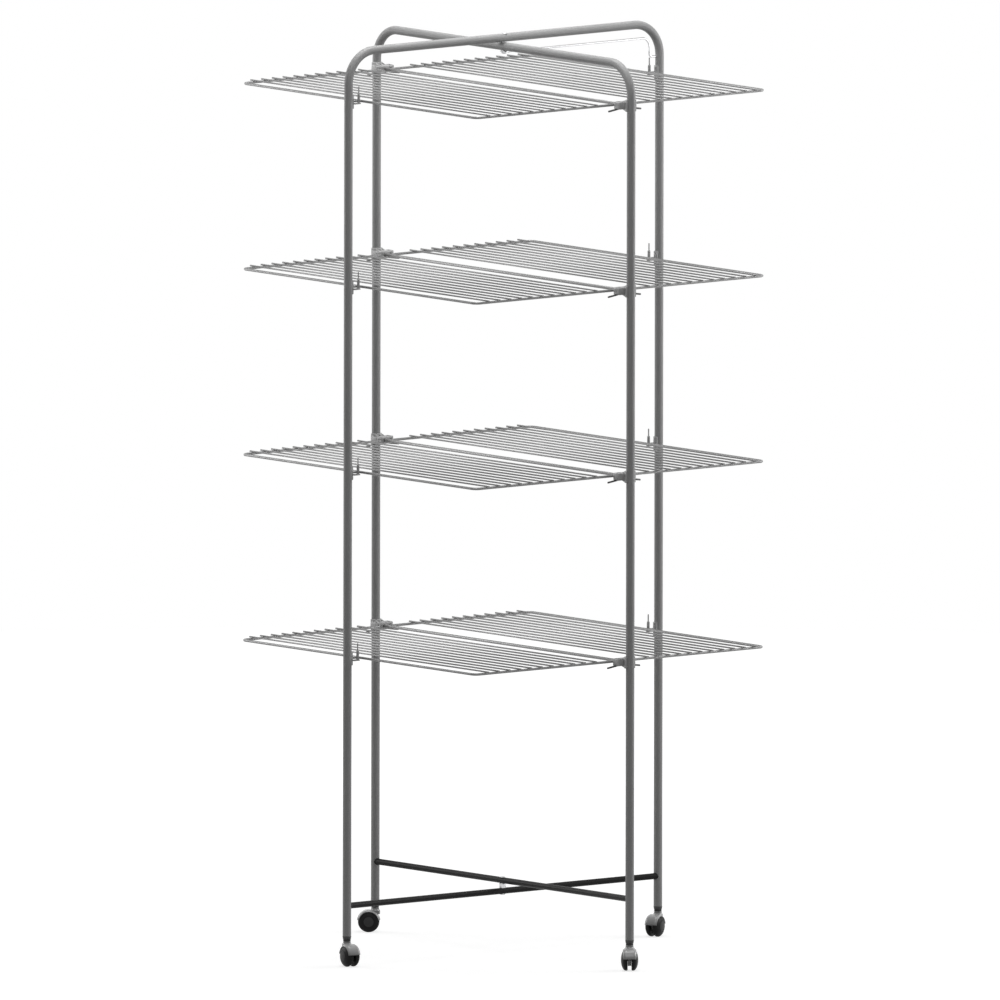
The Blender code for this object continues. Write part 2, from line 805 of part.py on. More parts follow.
POSTS = {
    "front": (0.0, -POST_AT),
    "back": (0.0, POST_AT),
    "left": (-POST_AT, 0.0),
    "right": (POST_AT, 0.0),
}
for side, (x, y) in POSTS.items():
    plug = piece(f"plug_{side}", PLUG, "black_plastic", at(x, y, 0.0))
    swivel = pivot(f"caster_{side}_swivel", at(x, y, 0.0, HEADINGS[side]))
    stand = swivel.matrix_world.copy()
    hub = stand @ at(TRAIL, 0.0, WHEEL_R)
    parts = [
        piece(f"caster_{side}_stem", STEM, "black_steel", stand),
        piece(f"caster_{side}_hood", HOOD, "hood_plastic", stand),
        piece(f"caster_{side}_axle", AXLE, "zinc", hub),
        piece(f"caster_{side}_wheel_a", WHEEL, "wheel_plastic", hub),
        piece(f"caster_{side}_wheel_b", WHEEL, "wheel_plastic", hub @ at(0.0, 0.0, 0.0, 180.0)),
    ]
    for part in parts:
        hung_from(part, swivel)
    if side in ("front", "back"):
        hung_from(plug, frame_turn)
        hung_from(swivel, frame_turn)

bpy.context.view_layer.update()
print("tower clothes airer:", len([o for o in airer.objects if o.type == "MESH"]), "pieces")
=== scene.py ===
import json
import math

import bmesh
import bpy
from mathutils import Matrix, Vector

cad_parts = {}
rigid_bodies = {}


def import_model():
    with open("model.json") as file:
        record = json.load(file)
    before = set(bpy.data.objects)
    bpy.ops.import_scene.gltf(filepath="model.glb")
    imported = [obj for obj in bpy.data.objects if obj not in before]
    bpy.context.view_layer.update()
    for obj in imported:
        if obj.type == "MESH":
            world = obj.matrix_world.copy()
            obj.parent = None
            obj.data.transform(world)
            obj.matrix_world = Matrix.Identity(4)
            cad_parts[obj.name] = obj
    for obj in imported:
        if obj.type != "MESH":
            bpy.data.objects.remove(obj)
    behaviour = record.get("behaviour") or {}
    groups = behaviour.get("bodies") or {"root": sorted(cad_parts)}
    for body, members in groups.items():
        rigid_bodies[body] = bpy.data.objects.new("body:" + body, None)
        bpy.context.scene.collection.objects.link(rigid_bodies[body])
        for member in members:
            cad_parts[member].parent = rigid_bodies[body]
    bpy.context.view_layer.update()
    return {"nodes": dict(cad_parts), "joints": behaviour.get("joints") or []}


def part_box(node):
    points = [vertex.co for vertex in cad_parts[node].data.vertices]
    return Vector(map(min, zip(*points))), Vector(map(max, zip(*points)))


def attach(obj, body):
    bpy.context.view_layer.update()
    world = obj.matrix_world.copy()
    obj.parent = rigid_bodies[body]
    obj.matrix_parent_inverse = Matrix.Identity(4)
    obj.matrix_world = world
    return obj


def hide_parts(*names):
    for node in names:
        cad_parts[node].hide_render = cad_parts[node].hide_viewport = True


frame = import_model()
print("frame loaded:", len(frame["nodes"]), "nodes")

mm = 0.001
jointAt = {joint["name"]: Vector(joint["pos_m"]) for joint in frame["joints"]}

# Places read off the frame, so that the looks follow it
innerLow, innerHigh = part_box("inner_frame_tube")
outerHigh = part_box("outer_frame_tube")[1]
tubeRadius = innerHigh.y
postAt = innerHigh.x - tubeRadius
postEnd = innerLow.z
innerTop = innerHigh.z - tubeRadius
outerTop = outerHigh.z - tubeRadius
tierNames = ["tier1", "tier2", "tier3", "tier4"]
alongX, alongY = Vector((1, 0, 0)), Vector((0, 1, 0))
frameSides = (("inner", innerTop, alongX), ("outer", outerTop, alongY))


# Shader sums

class Channel:
    # A socket that can be added, multiplied and so on with others or with numbers
    def __init__(self, sheet, socket):
        self.sheet, self.socket = sheet, socket

    def __add__(self, other):
        return self.sheet.maths("ADD", self, other)

    def __radd__(self, other):
        return self.sheet.maths("ADD", other, self)

    def __sub__(self, other):
        return self.sheet.maths("SUBTRACT", self, other)

    def __rsub__(self, other):
        return self.sheet.maths("SUBTRACT", other, self)

    def __mul__(self, other):
        return self.sheet.maths("MULTIPLY", self, other)

    def __rmul__(self, other):
        return self.sheet.maths("MULTIPLY", other, self)

    def __truediv__(self, other):
        return self.sheet.maths("DIVIDE", self, other)

    def __gt__(self, other):
        return self.sheet.maths("GREATER_THAN", self, other)

    def clamped(self):
        return self.sheet.node("ShaderNodeClamp", {}, {"Value": self})


class Sheet:
    # One node tree, of a material or of the world
    def __init__(self, tree):
        self.tree = tree

    def plug(self, socket, value):
        if isinstance(value, Channel):
            self.tree.links.new(value.socket, socket)
        else:
            socket.default_value = value

    def node(self, kind, settings, sockets, output=0):
        made = self.tree.nodes.new(kind)
        for key, value in settings.items():
            setattr(made, key, value)
        for key, value in sockets.items():
            self.plug(made.inputs[key], value)
        return Channel(self, made.outputs[output])

    def maths(self, operation, first, second):
        return self.node("ShaderNodeMath", {"operation": operation}, {0: first, 1: second})

    def blendColour(self, factor, first, second):
        # a Mix node keeps its colours in sockets 6 and 7, and gives its mix at 2
        sockets = {0: factor, 6: first, 7: second}
        return self.node("ShaderNodeMix", {"data_type": "RGBA"}, sockets, 2)

    def place(self):
        return self.node("ShaderNodeTexCoord", {}, {}, "Object")

    def noise(self, scale, detail, stretch=None):
        where = self.place()
        if stretch is not None:
            where = self.node("ShaderNodeMapping", {}, {"Vector": where, "Scale": stretch})
        sockets = {"Vector": where, "Scale": scale, "Detail": detail, "Roughness": 0.5}
        return self.node("ShaderNodeTexNoise", {}, sockets, "Fac")

    def cells(self, scale):
        # a random level in each small cell
        sockets = {"Vector": self.place(), "Scale": scale}
        cell = self.node("ShaderNodeTexVoronoi", {}, sockets, "Color")
        return self.node("ShaderNodeSeparateColor", {}, {"Color": cell})

    def bump(self, height, strength, depth):
        sockets = {"Height": height, "Strength": strength, "Distance": depth}
        return self.node("ShaderNodeBump", {}, sockets)

    def mask(self, name):
        return self.node("ShaderNodeAttribute", {"attribute_name": name}, {}, "Fac")


def grey(level, tint=0.0):
    return (level, level, level * (1.0 + tint), 1.0)


# Finishes. A noise is its scale per metre and its detail; rough is the middle of a gloss
# that wanders by its spread; levels are shares of the finish's own grey

coatLook = {
    "bloom": (5.0, 3.0), "levels": (0.93, 1.07), "flakeScale": 5200.0,
    "flakeShare": 0.20, "flakeMix": 0.30, "flakeLevel": (2.2, 0.06, 0.9),
    "gloss": (155.0, 2.0), "spread": 0.10, "grain": (620.0, 2.0), "pitScale": 2600.0,
    "pitShare": 0.15, "strength": 0.30, "depth": 0.06 * mm,
}
wireLook = {
    "bloom": (38.0, 3.0), "levels": (0.90, 1.08), "gloss": (240.0, 2.0), "spread": 0.14,
    "grain": (900.0, 2.0, (0.04, 1.0, 1.0)), "strength": 0.25, "depth": 0.04 * mm,
}
zincLook = {
    "bloom": (140.0, 4.0), "levels": (0.86, 1.10), "tints": (0.015, 0.01),
    "gloss": (420.0, 3.0), "spread": 0.20, "grain": (1500.0, 2.0), "strength": 0.20,
    "depth": 0.03 * mm,
}
plasticLook = {
    "bloom": (60.0, 3.0), "levels": (0.80, 1.25), "lift": 0.002, "gloss": (180.0, 3.0),
    "spread": 0.12, "grain": (2300.0, 3.0), "pitScale": 1500.0, "pitShare": 0.3,
    "strength": 0.35, "depth": 0.05 * mm,
}
hoodPaint = {**plasticLook, "bloomMix": 0.12, "pitShare": 0.0, "strength": 0.15}
wheelPaint = {
    "dust": (260.0, 4.0), "dustMix": (0.35, 0.65), "dustLevel": (2.0, 0.004),
    "treadRough": 0.28, "gloss": (300.0, 2.0), "spread": 0.06, "grain": (700.0, 4.0),
    "faceScuff": 0.35, "strength": 0.40, "depth": 0.08 * mm,
}


def coated(name, colour, rough, metal, look, **fixed):
    # A Principled material: its colour, a gloss that wanders and a fine grain
    material = bpy.data.materials.new(name)
    material.use_nodes = True
    sheet, inputs = Sheet(material.node_tree), material.node_tree.nodes["Principled BSDF"].inputs
    gloss = rough - look["spread"] / 2 + sheet.noise(*look["gloss"]) * look["spread"]
    height = sheet.noise(*look["grain"])
    if look.get("pitShare"):
        height = height + sheet.cells(look["pitScale"]) * look["pitShare"]
    if "treadRough" in look:
        gloss = gloss + sheet.mask("tread") * look["treadRough"]
        height = height * (look["faceScuff"] + sheet.mask("tread"))
    sheet.plug(inputs["Base Color"], colour(sheet))
    sheet.plug(inputs["Roughness"], gloss)
    sheet.plug(inputs["Metallic"], metal)
    sheet.plug(inputs["Normal"], sheet.bump(height, look["strength"], look["depth"]))
    for key, value in fixed.items():
        inputs[key.replace("_", " ")].default_value = value
    return material


def powderCoat(name, level, rough, metal, flake, shine=0.5):
    # satin powder coat: fine orange peel, with small bright flakes in the paint
    look = coatLook

    def colour(sheet):
        low, high = look["levels"]
        share, lift, most = look["flakeLevel"]
        base = sheet.blendColour(sheet.noise(*look["bloom"]), grey(level * low), grey(level * high))
        bright = sheet.cells(look["flakeScale"]) > (1.0 - look["flakeShare"])
        glint = grey(min(level * share + lift, most))
        return sheet.blendColour(bright * (look["flakeMix"] * flake), base, glint)

    return coated(name, colour, rough, metal, look, Specular_IOR_Level=shine)


def evenCoat(name, level, rough, metal, look, **fixed):
    # plain metal or plastic, with a faint bloom between two levels
    def colour(sheet):
        low, high = look["levels"]
        lowTint, highTint = look.get("tints", (0.0, 0.0))
        first = grey(level * low, lowTint)
        second = grey(level * high + look.get("lift", 0.0), highTint)
        return sheet.blendColour(sheet.noise(*look["bloom"]), first, second)

    return coated(name, colour, rough, metal, look, **fixed)


def hoodPlastic(name, under, upper, rough):
    # glossy moulding, with a painted highlight: paler where its surface faces up, as if lit from
    # above
    look = hoodPaint

    def colour(sheet):
        bloom = sheet.noise(*look["bloom"]) * look["bloomMix"]
        base = sheet.blendColour(sheet.mask("paintedTopLight"), grey(under), grey(upper))
        return sheet.blendColour(bloom, base, grey(upper))

    return coated(name, colour, rough, 0.0, look, Coat_Weight=0.7, Coat_Roughness=0.25)


def wheelPlastic(name, level, capLevel, rough):
    # black wheel with a dark grey cap: satin faces, and a dull, faintly dusty tread
    look = wheelPaint

    def colour(sheet):
        (least, more), (share, lift) = look["dustMix"], look["dustLevel"]
        dust = sheet.mask("tread") * (least + more * sheet.noise(*look["dust"]))
        base = sheet.blendColour(dust.clamped(), grey(level), grey(level * share + lift))
        return sheet.blendColour(sheet.mask("cap"), base, grey(capLevel))

    return coated(name, colour, rough, 0.0, look, Specular_IOR_Level=0.12)


clearCoat = {"Coat_Weight": 0.15, "Coat_Roughness": 0.2}
finishes = {
    "inner_tube": powderCoat("innerTubeCoat", 0.27, 0.46, 0.05, 1.0, 0.2),
    "outer_tube": powderCoat("outerTubeCoat", 0.27, 0.46, 0.05, 1.0, 0.2),
    "lower_bar": powderCoat("lowerBarCoat", 0.010, 0.46, 0.0, 0.3, 0.12),
    "rod": powderCoat("rodCoat", 0.280, 0.40, 0.40, 0.6),
    "rack_wire": evenCoat("rackWire", 0.23, 0.37, 0.30, wireLook, **clearCoat),
    "zinc": evenCoat("zincPlate", 0.62, 0.34, 1.0, zincLook),
    "catch": evenCoat("catchPlastic", 0.300, 0.46, 0.0, plasticLook),
    "bracket": evenCoat("bracketPlastic", 0.400, 0.44, 0.0, plasticLook),
    "black_plastic": evenCoat("blackPlastic", 0.018, 0.44, 0.0, plasticLook),
    "black_steel": powderCoat("blackSteel", 0.020, 0.40, 0.10, 0.3, 0.3),
    # the hood's paler level is a painted highlight on its upward faces
    "hood_plastic": hoodPlastic("hoodPlastic", 0.05, 0.42, 0.36),
    "wheel_plastic": wheelPlastic("wheelPlastic", 0.008, 0.06, 0.43),
}
print("finishes:", len(finishes))


# Mesh tools

toolLook = {
    "crease": 35.0, "cutCrease": 32.0, "bevelFrom": 40.0, "bendRoom": 0.49,
    "straightest": 0.01, "tipShare": 0.3,
}


def show(name, mesh, slot, body, node, turn=None):
    # Puts a finished mesh in the scene in place of its node, riding on its body
    mesh = mesh.copy()
    if turn is not None:
        mesh.transform(turn)
    mesh.materials.clear()
    mesh.materials.append(finishes[slot])
    made = placed(name, mesh)
    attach(made, body)
    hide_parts(node)


def plainMesh(made):
    # The evaluated object as a plain mesh in place; the object itself goes
    graph = bpy.context.evaluated_depsgraph_get()
    graph.update()
    mesh = bpy.data.meshes.new_from_object(made.evaluated_get(graph))
    mesh.transform(made.matrix_world)
    bpy.data.objects.remove(made, do_unlink=True)
    return mesh


def placed(name, data):
    made = bpy.data.objects.new(name, data)
    bpy.context.scene.collection.objects.link(made)
    return made


def smoothed(mesh, degrees=toolLook["crease"]):
    mesh.shade_smooth()
    mesh.set_sharp_from_angle(angle=math.radians(degrees))
    return mesh


def fromBmesh(name, bm):
    bmesh.ops.recalc_face_normals(bm, faces=bm.faces)
    mesh = bpy.data.meshes.new(name)
    bm.to_mesh(mesh)
    bm.free()
    return mesh


def rounded(corners, steps):
    # Points through the corners, each (point, radius), with an arc at each inner corner
    points = [Vector(corners[0][0])]
    for (before, _), (here, radius), (after, _) in zip(corners, corners[1:], corners[2:]):
        here = Vector(here)
        back, ahead = Vector(before) - here, Vector(after) - here
        room = toolLook["bendRoom"] * min(back.length, ahead.length)
        back.normalize()
        ahead.normalize()
        angle = back.angle(ahead)
        if radius <= 0.0 or angle > math.pi - toolLook["straightest"]:
            points.append(here)
            continue
        setBack = radius / math.tan(angle / 2)
        if setBack > room:
            radius, setBack = radius * room / setBack, room
        center = here + (back + ahead).normalized() * (radius / math.sin(angle / 2))
        first, last = here + back * setBack - center, here + ahead * setBack - center
        span = first.angle(last)
        for n in range(steps + 1):
            share = n / steps
            early = math.sin((1.0 - share) * span) / math.sin(span)
            late = math.sin(share * span) / math.sin(span)
            points.append(center + first * early + last * late)
    points.append(Vector(corners[-1][0]))
    return points


def loft(bm, rings, closed=False):
    # Skins a run of rings of points and caps it, or joins the last ring to the first
    made = [[bm.verts.new(point) for point in ring] for ring in rings]
    pairs = list(zip(made, made[1:]))
    if closed:
        pairs.append((made[-1], made[0]))
    for low, high in pairs:
        for n in range(len(low)):
            after = (n + 1) % len(low)
            bm.faces.new((low[n], low[after], high[after], high[n]))
    if not closed:
        bm.faces.new(made[0])
        bm.faces.new(made[-1])


def frames(path):
    # A steady sideways pair at each point of a path
    tangents = []
    for n, here in enumerate(path):
        ahead = path[min(n + 1, len(path) - 1)] - here
        behind = here - path[max(n - 1, 0)]
        tangents.append((ahead.normalized() + behind.normalized()).normalized())
    side = tangents[0].orthogonal().normalized()
    found = []
    for tangent in tangents:
        side = (side - tangent * side.dot(tangent)).normalized()
        found.append((side, tangent.cross(side)))
    return found


def circle(center, side, up, radius, sides):
    turns = (math.tau * n / sides for n in range(sides))
    return [center + (side * math.cos(a) + up * math.sin(a)) * radius for a in turns]


def sweep(bm, path, radius, sides, bore=0.0, tip=0.0):
    # A round bar or tube along a path; tip rounds the ends of a solid bar
    path = [Vector(point) for point in path]
    pairs = frames(path)
    rings = [circle(c, s, u, radius, sides) for c, (s, u) in zip(path, pairs)]
    if bore:
        back = zip(path[::-1], pairs[::-1])
        rings += [circle(c, s, u, bore, sides) for c, (s, u) in back]
        loft(bm, rings, closed=True)
        return
    if tip:
        for index, inward in ((0, 1), (-1, -2)):
            end, (side, up) = path[index], pairs[index]
            along = (path[inward] - end).normalized()
            full = circle(end + along * tip, side, up, radius, sides)
            small = circle(end, side, up, radius - tip, sides)
            part = tip * toolLook["tipShare"]
            mid = circle(end + along * part, side, up, radius - part, sides)
            if index == 0:
                rings[0:1] = [small, mid, full]
            else:
                rings[-1:] = [full, mid, small]
    loft(bm, rings)


def bar(name, path, radius, sides, bore=0.0, tip=0.0):
    bm = bmesh.new()
    sweep(bm, path, radius, sides, bore, tip)
    return smoothed(fromBmesh(name, bm))


def turned(name, core, corners, sides, steps=4, crown=None):
    # A turned piece about Z: corners are ((radius, height), fillet), from the top down;
    # its ends run in to a small core instead of the axis, at the top up to the crown
    (_, top), (_, foot) = corners[0][0], corners[-1][0]
    top = top if crown is None else crown
    corners = [((core, top), 0.0), *corners, ((core, foot), 0.0)]
    outline = rounded([((r, 0.0, z), fillet) for (r, z), fillet in corners], steps)
    bm = bmesh.new()
    loft(bm, [circle(Vector((0, 0, p.z)), alongX, alongY, p.x, sides) for p in outline])
    return smoothed(fromBmesh(name, bm))


def ringTurned(name, corners, sides, steps):
    # A turned ring: the outline is a closed loop that stays clear of the axis
    loop = corners + corners[:2]
    flat = [((r, 0.0, z), fillet) for (r, z), fillet in loop]
    outline = rounded(flat, steps)[1:-1]
    bm = bmesh.new()
    rings = []
    for n in range(sides):
        turn = Matrix.Rotation(math.tau * n / sides, 3, "Z")
        rings.append([turn @ point for point in outline])
    loft(bm, rings, closed=True)
    return smoothed(fromBmesh(name, bm))


def block(name, low, high, edge=0.0, steps=2):
    # A box between two corners, with rounded edges
    bm = bmesh.new()
    low, high = Vector(low), Vector(high)
    fit = Matrix.Translation((low + high) / 2) @ Matrix.Diagonal((*(high - low), 1.0))
    bmesh.ops.create_cube(bm, size=1.0, matrix=fit)
    if edge:
        sharp = {"offset": edge, "segments": steps, "profile": 0.5, "affect": "EDGES"}
        bmesh.ops.bevel(bm, geom=bm.edges, **sharp)
    return fromBmesh(name, bm)


def rod(name, start, end, radius, sides):
    bm = bmesh.new()
    sweep(bm, [start, end], radius, sides)
    return fromBmesh(name, bm)


def carved(name, base, joins, cuts, edge=0.0, steps=2):
    # Joins and cuts shapes, then breaks the sharp edges that are left
    main = placed(name, base)
    tools = []
    for operation, shapes in (("UNION", joins), ("DIFFERENCE", cuts)):
        for shape in shapes:
            tool = placed(name + "Tool", shape)
            tools.append(tool)
            step = main.modifiers.new(operation, "BOOLEAN")
            step.operation = operation
            step.solver = "EXACT"
            step.object = tool
    if edge:
        bevel = main.modifiers.new("edge", "BEVEL")
        bevel.width = edge
        bevel.segments = steps
        bevel.limit_method = "ANGLE"
        bevel.angle_limit = math.radians(toolLook["bevelFrom"])
        bevel.miter_outer = "MITER_ARC"
    mesh = plainMesh(main)
    for tool in tools:
        bpy.data.objects.remove(tool, do_unlink=True)
    return smoothed(mesh, toolLook["cutCrease"])


def tierHeight(number):
    return jointAt[f"rack_{number}_back_hinge"].z


def spot(x, y, z, degrees=0.0):
    return Matrix.Translation((x, y, z)) @ Matrix.Rotation(math.radians(degrees), 4, "Z")


# Frame tubes

tubeLook = {"sides": 48, "bendSteps": 28, "bendRadius": 60.0 * mm, "wall": 0.8 * mm}


def frameTube(name, top, across):
    side = across * postAt
    bend = tubeLook["bendRadius"]
    high = Vector((0, 0, top))
    low = Vector((0, 0, postEnd))
    corners = [(low - side, 0.0), (high - side, bend), (high + side, bend), (low + side, 0.0)]
    path = rounded(corners, tubeLook["bendSteps"])
    return bar(name, path, tubeRadius, tubeLook["sides"], tubeRadius - tubeLook["wall"])


for which, top, across in frameSides:
    name, body = f"{which}Tube", f"{which}_frame"
    show(name, frameTube(name, top, across), f"{which}_tube", body, f"{body}_tube")


# Lower bars, coped round the posts with a small weld collar at each end

lowerLook = {
    "sides": 32, "endPlay": 0.5 * mm, "weldReach": 2.6 * mm, "weldFlare": 1.1 * mm,
    "weldStart": 0.98, "weldSwell": (0.3, 0.25), "weldFull": 0.55,
    "copePlay": 0.05 * mm, "copeSides": 48, "copeReach": 3,
}


def lowerBar(name, node, across):
    look, sides = lowerLook, lowerLook["sides"]
    low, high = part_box(node)
    radius = (high.z - low.z) / 2
    level = Vector((0, 0, (low.z + high.z) / 2))
    reach = postAt - look["endPlay"]
    shell = rod(name, level - across * reach, level + across * reach, radius, sides)
    swellAt, swell = look["weldSwell"]
    flare = radius + look["weldFlare"]
    steps = [
        (0.0, radius * look["weldStart"]),
        (swellAt, radius + swell * look["weldFlare"]),
        (look["weldFull"], flare),
        (1.0, flare),
    ]
    tall = Vector((0, 0, radius * look["copeReach"]))
    bore = tubeRadius - look["copePlay"]
    welds, cuts = [], []
    for way in (-1, 1):
        foot = level + across * way * (postAt - tubeRadius - look["weldReach"])
        root = level + across * way * (postAt - tubeRadius / 2)
        side, up = frames([foot, root])[0]
        bm = bmesh.new()
        loft(bm, [circle(foot.lerp(root, share), side, up, wide, sides) for share, wide in steps])
        welds.append(fromBmesh(name + "Weld", bm))
        post = across * way * postAt + level
        cuts.append(rod(name + "Cope", post - tall, post + tall, bore, look["copeSides"]))
    return carved(name, shell, welds, cuts)


for which, top, across in frameSides:
    name, node = f"{which}Bar", f"{which}_lower_bar"
    show(name, lowerBar(name, node, across), "lower_bar", f"{which}_frame", node)
print("frames made")


# Pivot rivets: domed heads over a washer, and a shoulder between the lower bars

rivetLook = {
    "sides": 40, "core": 0.4 * mm, "headRise": 1.5 * mm, "domeShare": 0.55,
    "domeBend": 0.3, "rim": 0.3 * mm, "rimFillet": 0.36 * mm, "washer": 3.0 * mm,
    "shoulderEdge": 0.5 * mm, "shoulderPlay": 0.1 * mm, "topShaft": 3.0 * mm,
    "lowerShaft": 2.5 * mm,
}


def pivotRivet(name, node, shaft, shoulder=None):
    look = rivetLook
    low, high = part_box(node)
    wide = high.x if shoulder is None else shaft + look["washer"]

    def head(face, inward):
        # over the dome from its flat top and in to the shaft
        under = face + look["headRise"] * inward
        return [
            ((wide * look["domeShare"], face), wide * look["domeBend"]),
            ((wide, under - look["rim"] * inward), look["rimFillet"]),
            ((wide, under), 0.0),
            ((shaft, under), 0.0),
        ]

    corners = head(high.z, -1)
    if shoulder is not None:
        foot, top = shoulder
        edge = look["shoulderEdge"]
        corners += [((shaft, top), 0.0), ((high.x, top), edge)]
        corners += [((high.x, foot), edge), ((shaft, foot), 0.0)]
    corners += head(low.z, 1)[::-1]
    return turned(name, look["core"], corners, look["sides"])


topRivet = pivotRivet("topRivet", "top_pivot_rivet", rivetLook["topShaft"])
show("topRivet", topRivet, "zinc", "inner_frame", "top_pivot_rivet")
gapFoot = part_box("outer_lower_bar")[1].z + rivetLook["shoulderPlay"]
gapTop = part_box("inner_lower_bar")[0].z - rivetLook["shoulderPlay"]
between = (gapFoot, gapTop)
lowerRivet = pivotRivet("lowerRivet", "lower_pivot_rivet", rivetLook["lowerShaft"], between)
show("lowerRivet", lowerRivet, "zinc", "inner_frame", "lower_pivot_rivet")


# Hanger wire under one half of the outer top bar

hangerLook = {
    "radius": 2.0 * mm, "sides": 20, "fromPost": 24.5 * mm, "cornerBend": 26.0 * mm,
    "smallBend": 6.0 * mm, "bendSteps": 10, "rootPlay": 0.4 * mm, "play": 0.3 * mm,
    "tip": 0.6 * mm, "eyeRadius": 5.6 * mm, "eyeNeck": 2.4, "eyeEnd": -200.0,
    "eyeSteps": 28,
}


def hangerWire():
    # from the back post, under both top bars, to an open eye round the rivet
    look = hangerLook
    radius, eye, neck, steps = look["radius"], look["eyeRadius"], look["eyeNeck"], look["eyeSteps"]
    upright = postAt - look["fromPost"]
    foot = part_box("hanger_wire")[0].z + radius
    run = innerTop - tubeRadius - look["play"] - radius
    first, last = math.degrees(math.asin(1.0 / neck)), look["eyeEnd"]
    turns = [math.radians(first + (last - first) * n / steps) for n in range(steps + 1)]
    around = [Vector((eye * math.cos(a), eye * math.sin(a), run)) for a in turns]
    corners = [
        ((0, postAt - tubeRadius + look["rootPlay"], foot), 0.0),
        ((0, upright, foot), look["smallBend"]),
        ((0, upright, run), look["cornerBend"]),
        ((0, eye * neck, run), look["smallBend"]),
        (around[0], 0.0),
    ]
    path = rounded(corners, look["bendSteps"]) + around[1:]
    return bar("hangerWire", path, radius, look["sides"], tip=look["tip"])


show("hangerWire", hangerWire(), "zinc", "outer_frame", "hanger_wire")
print("rivets and hanger wire made")


# Racks: one Geometry Nodes tree turns the rail's path into a welded wire rack

rackLook = {
    "railRadius": 2.5 * mm, "railSides": 16, "railGap": 18.5 * mm, "bendSteps": 8,
    "wireRadius": 1.6 * mm, "wireSides": 14, "wireCount": 11, "firstWire": 62.6 * mm,
    "overhang": 6.6 * mm, "sink": 0.5 * mm, "tipLength": 0.6 * mm, "tipThin": 0.32,
    "weldRadius": 2.3 * mm, "weldShape": (0.95, 1.0, 0.62), "weldDetail": 3,
    "weldDrop": 0.42, "pinBend": 5.0 * mm, "pinPlay": 0.3 * mm, "cornerBend": 12.0 * mm,
    "tongueRadius": 2.0 * mm, "tongueSides": 20, "tongueTip": 0.7 * mm,
    "tongueRoot": 0.4,
    "tongueFlare": ((1.6 * mm, 3.0 * mm), (2.7 * mm, 2.5 * mm), (3.6 * mm, 2.02 * mm)),
    "crease": 40.0,
}


class NodeSheet(Sheet):
    # A Geometry Nodes tree with named inputs
    def __init__(self, name, sizes):
        super().__init__(bpy.data.node_groups.new(name, "GeometryNodeTree"))
        face = self.tree.interface
        face.new_socket("Geometry", in_out="INPUT", socket_type="NodeSocketGeometry")
        self.ids = {}
        for key, value in sizes.items():
            kind = "NodeSocketInt" if isinstance(value, int) else "NodeSocketFloat"
            made = face.new_socket(key, in_out="INPUT", socket_type=kind)
            made.default_value = value
            self.ids[key] = made.identifier
        face.new_socket("Geometry", in_out="OUTPUT", socket_type="NodeSocketGeometry")
        self.inlet = self.tree.nodes.new("NodeGroupInput")

    def size(self, key):
        return Channel(self, self.inlet.outputs[key])

    def point(self, x, y, z):
        return self.node("ShaderNodeCombineXYZ", {}, {0: x, 1: y, 2: z})

    def tube(self, line, sides, radius, **more):
        sockets = {"Resolution": sides, "Radius": self.size(radius)}
        around = self.node("GeometryNodeCurvePrimitiveCircle", {"mode": "RADIUS"}, sockets)
        sockets = {"Curve": line, "Profile Curve": around, "Fill Caps": True, **more}
        return self.node("GeometryNodeCurveToMesh", {}, sockets)

    def join(self, *parts):
        made = self.tree.nodes.new("GeometryNodeJoinGeometry")
        for part in parts:
            self.tree.links.new(part.socket, made.inputs[0])
        return Channel(self, made.outputs[0])

    def close(self, geometry, material):
        real = self.node("GeometryNodeRealizeInstances", {}, {"Geometry": geometry})
        sockets = {"Geometry": real, "Material": material}
        coat = self.node("GeometryNodeSetMaterial", {}, sockets)
        outlet = self.tree.nodes.new("NodeGroupOutput")
        self.tree.links.new(coat.socket, outlet.inputs[0])


